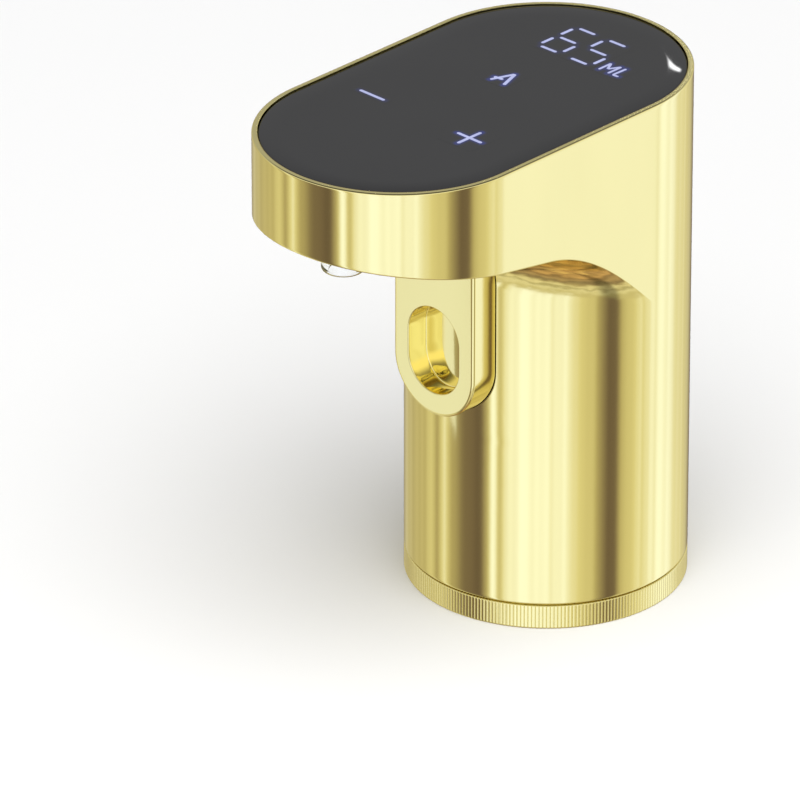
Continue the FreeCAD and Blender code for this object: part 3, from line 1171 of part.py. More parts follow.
def paddle_spring():
    """The spring between the paddle and the frame's front wall."""
    front = NAMES["paddle_web"] - NAMES["shell_radius"] + NAMES["running_gap"]
    back = NAMES["front_wall_inset"] - NAMES["shell_radius"] - NAMES["slide_gap"]
    return node(coil("paddle_coil", NAMES["paddle_spring_radius"], NAMES["spring_wire"],
                     NAMES["paddle_spring_turns"],
                     back - front, Vector(0, front, NAMES["paddle_spring_z"]), ALONG_Y), "paddle_spring")


def touch_glass():
    """The black glass that fills the top inside the gold rim."""
    return node(racetrack("glass_plate", GLASS_RADIUS, 0, "-head_reach", GLASS_BOTTOM, "glass_thick"),
                "touch_glass")


def panel_tray():
    """The tray under the glass: a flange on the shell's ledge, a wall, and a ledge for the display board."""
    wall = f"{INNER} - fit_gap"
    flange = racetrack("tray_flange_plate", f"{GLASS_RADIUS}", 0, "-head_reach", TRAY_SEAT, "tray_flange")
    body = racetrack("tray_body", wall, 0, "-head_reach", TRAY_BOTTOM, "tray_height")
    room = racetrack("tray_room", f"{wall} - tray_wall", 0, "-head_reach", TRAY_FLOOR_TOP, "tray_height")
    window = racetrack("tray_window", f"{wall} - tray_wall - tray_ledge", 0, "-head_reach", TRAY_BOTTOM,
                       "tray_height")
    return node(cut("tray_cut", fuse("tray_whole", flange, body), room, window), "panel_tray")


def display_board():
    """The circuit board with the lamps and the touch pads."""
    return node(racetrack("display_plate", f"{INNER} - tray_wall - 2 * fit_gap", 0, "-head_reach",
                          TRAY_FLOOR_TOP,
                          "board_thick"), "display_board")


def light_bar(name, x, y, along, wide):
    """One upright light guide between the display board and the glass."""
    return block(name, (f"{x} - ({along}) / 2", f"{x} + ({along}) / 2"),
                 (f"{y} - ({wide}) / 2", f"{y} + ({wide}) / 2"),
                 (GUIDE_BOTTOM, GLASS_BOTTOM))


def segment_light_guides():
    """The bars of two seven-bar numerals, each an own guide."""
    bars = []
    for digit, middle in enumerate(("digit_left", "digit_left + digit_pitch")):
        for level in (-1, 0, 1):
            bars.append(light_bar(f"guide_flat_{digit}_{level + 1}", middle,
                                  f"digit_y + {level} * digit_rise",
                                  "digit_bar", "bar_wide"))
        for side in (-1, 1):
            for level in (-1, 1):
                bars.append(light_bar(f"guide_upright_{digit}_{side + 1}_{level + 1}",
                                      f"{middle} + {side} * digit_half",
                                      f"digit_y + {level} * digit_rise / 2",
                                      "bar_wide", "digit_post"))
    return node(group("segment_guides", bars), "segment_light_guides")


def icon_light_guides():
    """The guides below the minus, plus, automatic and unit marks."""
    minus = light_bar("guide_minus", "minus_x", "key_y", "key_bar", "bar_wide")
    plus = fuse("guide_plus", light_bar("plus_across", "plus_x", "key_y", "key_bar", "bar_wide"),
                light_bar("plus_along", "plus_x", "key_y", "bar_wide", "key_bar"))
    auto = light_bar("guide_auto", "auto_x", "auto_y", "auto_wide", "auto_long")
    unit = light_bar("guide_unit", "unit_x", "unit_y", "unit_wide", "unit_long")
    return node(group("icon_guides", [minus, plus, auto, unit]), "icon_light_guides")


def aerator_chamber():
    """The chamber above the nozzle where air and liquid mix, with a rear barb and two screw ears."""
    body = rod("chamber_body", "chamber_radius", "chamber_height", 0, NOZZLE_Y, CHAMBER_Z)
    ears = block("chamber_ears", ("-chamber_screw_x - chamber_ear", "chamber_screw_x + chamber_ear"),
                 (f"{NOZZLE_Y} - chamber_ear", f"{NOZZLE_Y} + chamber_ear"),
                 (CHAMBER_Z, f"{CHAMBER_Z} + chamber_ear_thick"))
    room = rod("chamber_room", "chamber_radius - chamber_wall", "chamber_height - chamber_wall", 0,
               NOZZLE_Y,
               CHAMBER_Z)
    barb = rod("chamber_barb", "riser_bore", "barb_height + chamber_wall", 0,
               f"{NOZZLE_Y} + chamber_radius - chamber_wall", RUN_Z, ALONG_Y)
    bore = rod("chamber_bore", "wine_bore / 2", "chamber_radius + barb_height + chamber_wall", 0, NOZZLE_Y,
               RUN_Z, ALONG_Y)
    holes = [rod(f"ear_hole_{side + 1}", "screw_radius + slide_gap", "chamber_ear_thick",
                 f"{side} * chamber_screw_x",
                 NOZZLE_Y, CHAMBER_Z) for side in (-1, 1)]
    return node(cut("chamber_cut", fuse("chamber_whole", body, ears, barb), room, bore, *holes),
                "aerator_chamber")


def chamber_screws():
    """Two screws that hold the aerator chamber on the shell's bosses."""
    screws = [screw(f"chamber_screw_{side + 1}", "chamber_ear_thick + chamber_screw - screw_head_height",
                    f"{side} * chamber_screw_x", NOZZLE_Y,
                    f"{CHAMBER_Z} + chamber_ear_thick + screw_head_height",
                    DOWNWARD) for side in (-1, 1)]
    return node(group("chamber_screw_set", screws), "chamber_screws")


def pouring_nozzle():
    """The clear nozzle below the head, its flange held under the chamber."""
    return node(revolved("nozzle_body", [
        ("nozzle_bore", NOZZLE_TIP),
        ("nozzle_radius", NOZZLE_TIP),
        ("nozzle_radius", NOZZLE_SEAT),
        ("nozzle_flange", NOZZLE_SEAT),
        ("nozzle_flange", CHAMBER_Z),
        ("nozzle_bore", CHAMBER_Z),
    ], 0, NOZZLE_Y), "pouring_nozzle")


def aerator_insert():
    """The pierced disc in the nozzle that breaks the stream up with air."""
    disc = rod("insert_disc", "insert_radius", "insert_height", 0, NOZZLE_Y, f"{CHAMBER_Z} - insert_height")
    holes = [rod("insert_hole_middle", "insert_hole", "insert_height", 0, NOZZLE_Y,
                 f"{CHAMBER_Z} - insert_height")]
    for i in range(INSERT_HOLES):
        angle = ROUND * i / INSERT_HOLES
        holes.append(rod(f"insert_hole_{i}", "insert_hole", "insert_height", f"insert_circle * cos({angle})",
                         f"{NOZZLE_Y} + insert_circle * sin({angle})", f"{CHAMBER_Z} - insert_height"))
    return node(cut("insert_cut", disc, *holes), "aerator_insert")


def check(thing):
    """Stop unless an object computed cleanly and its shape is sound."""
    if "Invalid" in thing.State or "Error" in thing.State:
        raise RuntimeError(f"{thing.Label} failed: {thing.State}")


def write_nodes():
    """Check every object, then write each sub-part to its own file."""
    doc.recompute()
    for thing in doc.Objects:
        check(thing)
    for thing in nodes:
        if thing.Shape.isNull() or not thing.Shape.isValid() or not thing.Shape.Solids:
            raise RuntimeError(f"{thing.Label} has no sound solid")
    os.makedirs("parts", exist_ok=True)
    for thing in nodes:
        thing.Shape.exportStep(f"parts/{thing.Label}.step")
        box = thing.Shape.BoundBox
        print(f"{thing.Label}: {len(thing.Shape.Solids)} solid, {thing.Shape.Volume:.1f} mm3, "
              f"x {box.XMin:.2f} {box.XMax:.2f}, y {box.YMin:.2f} {box.YMax:.2f}, "
              f"z {box.ZMin:.2f} {box.ZMax:.2f}")


fill_sheet()
for build in (outer_shell, touch_glass, panel_tray, display_board, segment_light_guides,
              icon_light_guides, base_ring, socket_housing, housing_screws, stopper_carrier, stopper_core,
              bottle_stopper, core_seal, manifold, wine_riser_tube, air_hose, component_frame,
              frame_screws, motor_can, motor_magnets, motor_rotor, eccentric, pump_housing, wobble_plate,
              diaphragm, valve_plate, pump_head, outlet_hose, relief_valve_body, relief_valve_plunger,
              relief_valve_spring, motor_clamp, battery_cell, battery_strap, main_board, main_board_chips,
              buzzer, board_screws, board_link, usb_socket, push_paddle, paddle_pin, pin_bracket,
              paddle_switch, switch_plunger, paddle_spring, aerator_chamber, chamber_screws,
              pouring_nozzle, aerator_insert):
    build()
write_nodes()
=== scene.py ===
"""Looks of an electric pourer: gold column and head, touch glass, push paddle, knurled ring and clear nozzle.

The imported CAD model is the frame. Every visible outside piece is a surface worked out here in millimetres
and written to its mesh in metres; the pieces inside keep their CAD shape and get a finish of their own.
"""

import json
import math

import bmesh
import bpy
import numpy as np
from bpy.props import FloatProperty, FloatVectorProperty, IntProperty, PointerProperty
from mathutils import Matrix, Vector


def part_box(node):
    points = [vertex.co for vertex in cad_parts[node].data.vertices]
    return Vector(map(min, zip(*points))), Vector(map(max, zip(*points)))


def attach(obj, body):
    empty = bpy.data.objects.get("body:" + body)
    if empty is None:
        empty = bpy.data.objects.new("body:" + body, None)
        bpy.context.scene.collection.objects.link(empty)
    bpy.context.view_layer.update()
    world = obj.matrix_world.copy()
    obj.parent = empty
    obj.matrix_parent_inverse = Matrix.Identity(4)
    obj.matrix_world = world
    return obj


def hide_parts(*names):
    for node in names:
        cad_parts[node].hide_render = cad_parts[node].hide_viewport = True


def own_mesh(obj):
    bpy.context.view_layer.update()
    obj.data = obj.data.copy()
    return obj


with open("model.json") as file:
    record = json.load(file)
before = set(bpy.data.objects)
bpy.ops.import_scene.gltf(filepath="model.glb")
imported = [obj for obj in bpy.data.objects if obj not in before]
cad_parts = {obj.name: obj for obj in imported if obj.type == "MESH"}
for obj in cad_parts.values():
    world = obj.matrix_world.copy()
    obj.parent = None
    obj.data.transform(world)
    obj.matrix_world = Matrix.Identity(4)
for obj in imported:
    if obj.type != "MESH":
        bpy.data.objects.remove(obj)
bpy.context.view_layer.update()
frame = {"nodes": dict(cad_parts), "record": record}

bl_info = {
    "name": "Electric pourer",
    "version": (1, 0, 0),
    "blender": (4, 5, 0),
    "location": "View3D > Sidebar > Pourer",
    "description": "Builds the visible pieces of an electric pourer round its CAD frame",
    "category": "Object",
}

MM = 0.001
TURN = 2 * math.pi
PI = math.pi


def cad_box(node):
    """Lowest and highest corner of a CAD node, in millimetres."""
    low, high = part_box(node)
    return np.array(low) / MM, np.array(high) / MM


SHELL_LOW, SHELL_HIGH = cad_box("outer_shell")
RADIUS, TOP, FOOT = SHELL_HIGH[0], SHELL_HIGH[2], SHELL_LOW[2]
REACH = -SHELL_LOW[1] - RADIUS
GLASS_LOW, GLASS_HIGH = cad_box("touch_glass")
PADDLE_LOW, PADDLE_HIGH = cad_box("push_paddle")
NOZZLE_LOW, NOZZLE_HIGH = cad_box("pouring_nozzle")
PIN_LOW, PIN_HIGH = cad_box("paddle_pin")


def length(name, meaning, default):
    """A size in the sidebar, stored in metres and given here in millimetres."""
    return FloatProperty(name=name, description=meaning, default=default * MM, min=0.0, precision=5,
                         subtype="DISTANCE", unit="LENGTH")


def degrees(name, meaning, default):
    """An angle in the sidebar, given here in degrees."""
    return FloatProperty(name=name, description=meaning, default=math.radians(default), subtype="ANGLE",
                         unit="ROTATION")


def colour(name, meaning, default):
    """A colour in the sidebar."""
    return FloatVectorProperty(name=name, description=meaning, default=default, min=0.0, max=1.0, size=3,
                               subtype="COLOR")


class PourerSizes(bpy.types.PropertyGroup):
    """Sizes of the visible pieces that the frame doesn't fix."""
    wall: length("Shell wall", "Thickness of the gold shell", 1.6)
    tip: length("Tip height", "Height of the head at its front tip", 15.0)
    fillet: length("Fillet", "Radius between the underside and the column", 13.0)
    slope: degrees("Slope", "Fall of the underside towards the column", 9.6)
    edge: length("Head edge", "Radius of the head's lower edge", 0.35)
    rim_edge: length("Rim edge", "Radius of the rim's outer edge", 0.3)
    hole_edge: length("Hole edge", "Bevel round the shell's openings", 0.15)
    paddle_edge: length("Paddle edge", "Radius round the paddle's front", 0.5)
    recess_edge: length("Recess edge", "Radius round the paddle's recess", 0.2)
    flutes: IntProperty(name="Grooves", description="Grooves round the base ring", default=240, min=12)
    flute_depth: length("Groove depth", "Depth of a groove", 0.2)
    stroke: length("Light bar", "Width of a light bar on the glass", 0.66)
    letter: length("Letter stroke", "Width of a stroke of the unit mark", 0.5)
    glow_reach: length("Glow reach", "How far the blue glow spreads round a mark", 0.4)


class PourerFinishes(bpy.types.PropertyGroup):
    """Colours and finishes that a user would change."""
    gold: colour("Gold", "Colour of the plated shell, paddle and ring", (0.93, 0.82, 0.36))
    gold_rough: FloatProperty(name="Gold roughness", description="Roughness of the plating", default=0.1,
                              min=0.0, max=1.0, subtype="FACTOR")
    glass: colour("Glass", "Colour behind the touch glass", (0.012, 0.012, 0.013))
    mark: colour("Marks", "Colour of the lit marks", (0.45, 0.485, 0.76))
    mark_glow: colour("Mark glow", "Colour of the glow round the marks", (0.012, 0.02, 0.14))
    dark_plastic: colour("Dark plastic", "Colour of the dark inner mouldings", (0.035, 0.035, 0.038))
    silicone: colour("Silicone", "Colour of the stopper and the hoses", (0.72, 0.72, 0.70))
    food_plastic: colour("Food-safe plastic", "Colour of the mouldings that touch liquid", (0.75, 0.75, 0.73))


class PourerStage(bpy.types.PropertyGroup):
    """Floor, light and camera."""
    azimuth: degrees("Azimuth", "The camera's direction round the column", 43.787)
    elevation: degrees("Elevation", "The camera's height above the horizon", 27.078)
    distance: FloatProperty(name="Distance", description="From the camera to the point it looks at",
                            default=1.9088, min=0.1, subtype="DISTANCE", unit="LENGTH")
    floor: colour("Floor", "Colour of the floor", (0.90, 0.90, 0.90))


def linked(name, data):
    """A new object of the data, linked to the scene."""
    made = bpy.data.objects.new(name, data)
    bpy.context.scene.collection.objects.link(made)
    return made


class Piece:
    """Corners and faces of one mesh, gathered block by block. Each block is a grid of points."""

    def __init__(self):
        self.points = []
        self.faces = []
        self.polygons = []
        self.count = 0

    def add(self, grid):
        """Stores a grid of points (rows, columns, 3) and returns the grid of their numbers."""
        rows, columns = grid.shape[:2]
        numbers = np.arange(rows * columns).reshape(rows, columns) + self.count
        self.points.append(grid.reshape(-1, 3))
        self.count += rows * columns
        return numbers

    def skin(self, numbers, keep=None):
        """Joins neighbours of a grid of numbers with four-sided faces; keep is a mask of the cells."""
        cells = np.stack([numbers[:-1, :-1], numbers[:-1, 1:], numbers[1:, 1:], numbers[1:, :-1]], -1)
        if keep is not None:
            cells = cells[keep]
        self.faces.append(cells.reshape(-1, 4))

    def closed(self, numbers, along=False):
        """Repeats the first column at the end, and the first row where asked, so that a grid closes."""
        numbers = np.concatenate([numbers, numbers[:, :1]], 1)
        return np.concatenate([numbers, numbers[:1]], 0) if along else numbers

    def wrap(self, grid, along=False):
        """Adds a grid that closes on itself, with its faces."""
        self.skin(self.closed(self.add(grid), along))
        return self

    def mesh(self, name):
        """The plain mesh of all blocks, in metres."""
        mesh = bpy.data.meshes.new(name)
        faces = np.concatenate(self.faces).tolist() + self.polygons
        mesh.from_pydata(np.concatenate(self.points) * MM, [], faces)
        return mesh

    def build(self, name, merge=0.002, bevels=(), bevel=0.0):
        """Makes the object: doubles closer than merge are one corner, and normals point outwards.

        bevels holds arrays of corner numbers; sharp edges between two corners of one array get a bevel.
        """
        sharp_from = math.radians(25)
        mesh = self.mesh(name)
        work = bmesh.new()
        work.from_mesh(mesh)
        tag = work.verts.layers.int.new("edge_tag")
        work.verts.ensure_lookup_table()
        for number, corners in enumerate(bevels, start=1):
            for corner in np.unique(corners):
                work.verts[int(corner)][tag] = number
        bmesh.ops.remove_doubles(work, verts=work.verts, dist=merge * MM)
        bmesh.ops.dissolve_degenerate(work, edges=work.edges, dist=merge * MM / 4)
        bmesh.ops.holes_fill(work, edges=[edge for edge in work.edges if edge.is_boundary], sides=8)
        if bevel:
            sharp = [edge for edge in work.edges
                     if edge.verts[0][tag] and edge.verts[0][tag] == edge.verts[1][tag]
                     and len(edge.link_faces) == 2 and edge.calc_face_angle() > sharp_from]
            bmesh.ops.bevel(work, geom=sharp, offset=bevel, segments=3, profile=0.5, affect="EDGES",
                            clamp_overlap=True)
        bmesh.ops.recalc_face_normals(work, faces=work.faces)
        for face in work.faces:
            face.smooth = True
        work.verts.layers.int.remove(tag)
        work.to_mesh(mesh)
        work.free()
        return linked(name, mesh)


def finish_piece(made, material, body, slot, *nodes):
    """Gives a piece its material and body, and hides the CAD nodes that it stands for; slot is not used."""
    made.data.materials.append(material)
    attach(made, body)
    if nodes:
        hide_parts(*nodes)
    return made


def unit(vectors):
    """Vectors of length 1."""
    return vectors / np.maximum(np.linalg.norm(vectors, axis=-1, keepdims=True), 1e-12)


def mixed(a, b, shares):
    """Straight runs from the points a to the points b, one row for each share."""
    shares = np.asarray(shares, float)[:, None, None]
    return a[None] * (1 - shares) + b[None] * shares


def swing(centre, start, end, count, radius):
    """Arcs about the centres: the unit vector start turns evenly to the unit vector end."""
    angle = np.arccos(np.clip((start * end).sum(-1), -1, 1))[..., None]
    flat = angle < 1e-6
    angle = np.where(flat, 1.0, angle)
    rows = []
    for part in np.linspace(0, 1, count):
        turned = (np.sin((1 - part) * angle) * start + np.sin(part * angle) * end) / np.sin(angle)
        rows.append(centre + radius * np.where(flat, start, turned))
    return np.stack(rows)


def quarter(radius, count):
    """A quarter circle: pairs of radius * (1 - sin q) and radius * (1 - cos q), q from 0 to 90 degrees."""
    bend = np.linspace(0, PI / 2, count)
    return list(zip(radius * (1 - np.sin(bend)), radius * (1 - np.cos(bend))))


def halved(low, high, is_before):
    """Where is_before turns from true to false between low and high, found by halving the gap 40 times."""
    for _ in range(40):
        middle = (low + high) / 2
        before = is_before(middle)
        low, high = np.where(before, middle, low), np.where(before, high, middle)
    return (low + high) / 2


class ShellSurface:
    """Outside or inside of the gold shell as a function of two parameters.

    angle is the direction round the column's axis, 0 at the front and positive towards +X. level climbs
    the column from 0 at its foot to 1 where the fillet starts, then turns to 2 along the fillet's arc.
    The fillet is the path of a ball that rolls between the round column and the sloped underside, so its
    centre lies reach = column radius + ball radius from the axis, one ball radius below the slope.
    """

    def __init__(self, sizes, inset):
        self.slope = sizes.slope
        self.radius = RADIUS - inset
        self.ball = sizes.fillet / MM + inset
        self.reach = self.radius + self.ball
        self.under = np.array([0.0, math.sin(self.slope), math.cos(self.slope)])
        self.tip_height = TOP - sizes.tip / MM + inset / math.cos(self.slope)

    def underside(self, y):
        """Height of the sloped underside: it falls evenly from the head's tip towards the column."""
        return self.tip_height - math.tan(self.slope) * (y + REACH + RADIUS)

    def ball_height(self, angle):
        """Height of the rolling ball's centre; behind the axis it stays as at the side."""
        front = np.minimum(-self.reach * np.cos(angle), 0.0)
        return self.underside(front) - self.ball / math.cos(self.slope)

    def directions(self, angle):
        """Unit vectors from the ball's centre to the column, and their angle to the slope's normal."""
        to_column = np.stack([-np.sin(angle), np.cos(angle), np.zeros_like(angle)], -1)
        return to_column, np.arccos(np.clip(to_column @ self.under, -1, 1))

    def point(self, angle, level):
        """The surface's point: below level 1 on the column, above it on the fillet's arc."""
        angle, level = np.broadcast_arrays(np.asarray(angle, float), np.asarray(level, float))
        to_column, spread = self.directions(angle)
        part = np.clip(level - 1, 0, 1)
        share_column = (np.sin((1 - part) * spread) / np.sin(spread))[..., None]
        share_slope = (np.sin(part * spread) / np.sin(spread))[..., None]
        height = self.ball_height(angle)
        centre = np.stack([self.reach * np.sin(angle), -self.reach * np.cos(angle), height], -1)
        point = centre + self.ball * (share_column * to_column + share_slope * self.under)
        climb = FOOT + np.clip(level, 0, 1) * (height - FOOT)
        point[..., 2] = np.where(level <= 1, climb, point[..., 2])
        return point

    def at_levels(self, spots):
        """Points of rows of (angle, level)."""
        return self.point(spots[:, 0], spots[:, 1])

    def on_slope(self, spots):
        """Points of the sloped underside at rows of (x, y)."""
        return np.column_stack([spots, self.underside(spots[:, 1])])

    def arc_end(self, angle):
        """How much of the arc is inside the head's flat sides: 1 in front, 0 from the side backwards."""
        spread = self.directions(angle)[1]
        side = np.maximum(np.abs(np.sin(angle)), 1e-9)
        cut = np.sin(spread) * (self.reach - self.radius / side) / self.ball
        end = 1 - np.arcsin(np.clip(cut, 0, 1)) / spread
        return np.where(np.cos(angle) <= 1e-9, 0.0, np.clip(end, 0, 1))

    def outline(self, angle):
        """Where the underside meets the head's upright wall, and that wall's outward direction."""
        away = -self.directions(angle)[0]
        start = self.reach * away + self.ball * self.under
        side = np.maximum(np.abs(away[..., 0]), 1e-9)
        flat_run = (self.radius - np.abs(start[..., 0])) / side
        at_side = start + np.maximum(flat_run, 0)[..., None] * away
        offset = start[..., :2] - np.array([0.0, -REACH])
        half = (offset * away[..., :2]).sum(-1)
        gap = half ** 2 - (offset ** 2).sum(-1) + self.radius ** 2
        at_front = start + (np.sqrt(np.maximum(gap, 0)) - half)[..., None] * away
        point = np.where((at_side[..., 1] < -REACH)[..., None], at_front, at_side)
        point[..., 2] = self.underside(point[..., 1])
        end = self.arc_end(angle)
        point = np.where((end < 1)[..., None], self.point(angle, 1 + end), point)
        centre = np.stack([np.zeros_like(angle), np.clip(point[..., 1], -REACH, 0)], -1)
        normal = unit(point[..., :2] - centre)
        return point, np.concatenate([normal, np.zeros_like(normal[..., :1])], -1)


def shell_angles(rear, side, front):
    """Directions round the column, spread so that the head's outline is evenly divided.

    lean is how far the slope carries the fillet's upper end past the ball's centre.
    """
    lean = math.sin(math.radians(9.6)) * 13.0
    along_side = np.linspace(0, -REACH, side + 1)[1:-1]
    round_front = np.linspace(PI / 2, -PI / 2, front + 1)
    flat = np.full(side - 1, RADIUS)
    x = np.concatenate([flat, RADIUS * np.sin(round_front), -flat])
    y = np.concatenate([along_side, -REACH - RADIUS * np.cos(round_front), along_side[::-1]])
    ahead = np.arctan2(x, -(y - lean * np.minimum(1, -y / REACH)))
    return np.concatenate([ahead, np.linspace(-PI / 2, -3 * PI / 2, rear + 1)])


def shell_rows(surface, angles, levels, arc_steps, slope_steps, back_off):
    """Rows of one skin from the foot up the column, along the arc and out along the slope.

    back_off is how far before the head's outline the rows stop, to leave room for the rounded edge.
    """
    end, spread = surface.arc_end(angles), surface.directions(angles)[1]
    point, start = surface.outline(angles)[0], surface.point(angles, 2.0)
    run = np.where(end >= 1, np.linalg.norm(point - start, axis=-1), 0.0)
    end = np.clip(end - np.maximum(back_off - run, 0) / (surface.ball * spread), 0, 1)
    rows = [surface.point(angles, level) for level in levels]
    rows += [surface.point(angles, 1 + end * part) for part in arc_steps]
    last, share = rows[-1], (back_off / np.maximum(run, 1e-9))[:, None]
    stop = np.where((run > back_off)[:, None], point + share * (start - point), last)
    return np.stack(rows + [last + (stop - last) * part for part in slope_steps])


def edge_arc(point, inward, upward, radius, count):
    """A rounded edge between two directions that leave a corner, by an arc tangent to both."""
    half = np.arccos(np.clip((inward * upward).sum(-1), -1, 1)) / 2
    straight = half > math.radians(88)
    step = np.where(straight, 0.0, radius / np.maximum(np.tan(half), 1e-6))
    middle = unit(inward + upward + 1e-9)
    centre = point + middle * (radius / np.maximum(np.sin(half), 1e-6))[..., None]
    first = unit(point + inward * step[..., None] - centre)
    last = unit(point + upward * step[..., None] - centre)
    arc = swing(centre, first, last, count, radius)
    return np.where(straight[None, :, None], np.broadcast_to(point, arc.shape), arc), step


def doorway_outline(surface, half, low, front, count):
    """The paddle's doorway as (angle, level) points, from the bottom's middle round by the right side.

    It is a slot with a round lower end, cut from front to back; its upper end is where the fillet passes
    the plane y = front. The second result is the numbers of the two upper corners.
    """
    def level_at_front(angle):
        """The level on the column's arc where the surface is front away from the axis."""
        return halved(np.zeros_like(angle), np.ones_like(angle),
                      lambda part: surface.point(angle, 1 + part)[..., 1] > front)

    bend = np.linspace(0, PI / 2, count)
    angle = np.arcsin(half * np.sin(bend) / surface.radius)
    climb = surface.ball_height(angle) - FOOT
    round_part = np.stack([angle, (low - half * np.cos(bend) - FOOT) / climb], -1)
    side_angle = math.asin(half / surface.radius)
    side_level = (low - FOOT) / (surface.ball_height(np.array(side_angle)) - FOOT)
    side_part = np.stack([np.full(count - 1, side_angle), np.linspace(side_level, 1, count)[1:]], -1)
    corner = halved(np.zeros(1), np.array([side_angle]),
                    lambda spot: surface.point(spot, 1 + level_at_front(spot))[..., 0] < half)
    parts = np.linspace(0, level_at_front(corner)[0], count)[1:]
    angle = np.full_like(parts, side_angle)
    for _ in range(12):
        spread = surface.directions(angle)[1]
        away = surface.reach - surface.ball * np.sin((1 - parts) * spread) / np.sin(spread)
        angle = np.arcsin(half / away)
    arc_part = np.stack([angle, 1 + parts], -1)
    across = np.linspace(corner[0], -corner[0], 2 * count)[1:-1]
    top_part = np.stack([across, 1 + level_at_front(across)], -1)
    right = np.concatenate([round_part, side_part, arc_part])
    left = right[::-1][:-1] * np.array([-1.0, 1.0])
    return np.concatenate([right, top_part, left]), (len(right) - 1, len(right) + len(top_part))


def port_outline(surface, half, high, height, count):
    """The charging port's oval on the column's back as (angle, level) points."""
    bend = np.linspace(-PI / 2, PI / 2, count)
    side, rise = half - high + high * np.cos(bend), high * np.sin(bend)
    x, z = np.concatenate([side, -side]), height + np.concatenate([rise, -rise])
    level = (z - FOOT) / (surface.ball_height(np.full_like(x, PI)) - FOOT)
    return np.stack([-PI - np.arcsin(x / surface.radius), level], -1)


def hole_frame(grid, row, row_end, column, column_end):
    """What a grid holds round one of its rectangles, as a closed loop without a repeat."""
    return np.concatenate([grid[row, column:column_end], grid[row:row_end, column_end],
                           grid[row_end, column_end:column:-1], grid[row_end:row:-1, column]])


def match_outline(frame_spots, outline, corners=()):
    """For each spot of a frame, the place on the outline that lies in the same direction from its middle."""
    middle = (outline.min(0) + outline.max(0)) / 2
    size = (outline.max(0) - outline.min(0)) / 2
    around = np.unwrap(np.arctan2(*((outline - middle) / size).T[::-1]))
    wanted = np.arctan2(*((frame_spots - middle) / size).T[::-1])
    sense = 1 if around[-1] > around[0] else -1
    around = around * sense
    wanted = (wanted * sense - around[0]) % TURN + around[0]
    places = np.interp(wanted, np.append(around, around[0] + TURN), np.arange(len(outline) + 1))
    for corner in corners:
        places[np.argmin(np.abs(places - corner))] = corner
    return places % len(outline)


def at_places(outline, places):
    """Points of a closed outline at fractional numbers."""
    low = np.floor(places).astype(int)
    part = (places - low)[:, None]
    return outline[low % len(outline)] * (1 - part) + outline[(low + 1) % len(outline)] * part


# Shares of the way from a hole's frame to its outline: closer rows near the edge shade it cleanly.
PATCH_SHARES = (0.2, 0.4, 0.58, 0.74, 0.86, 0.93, 0.97, 1.0)


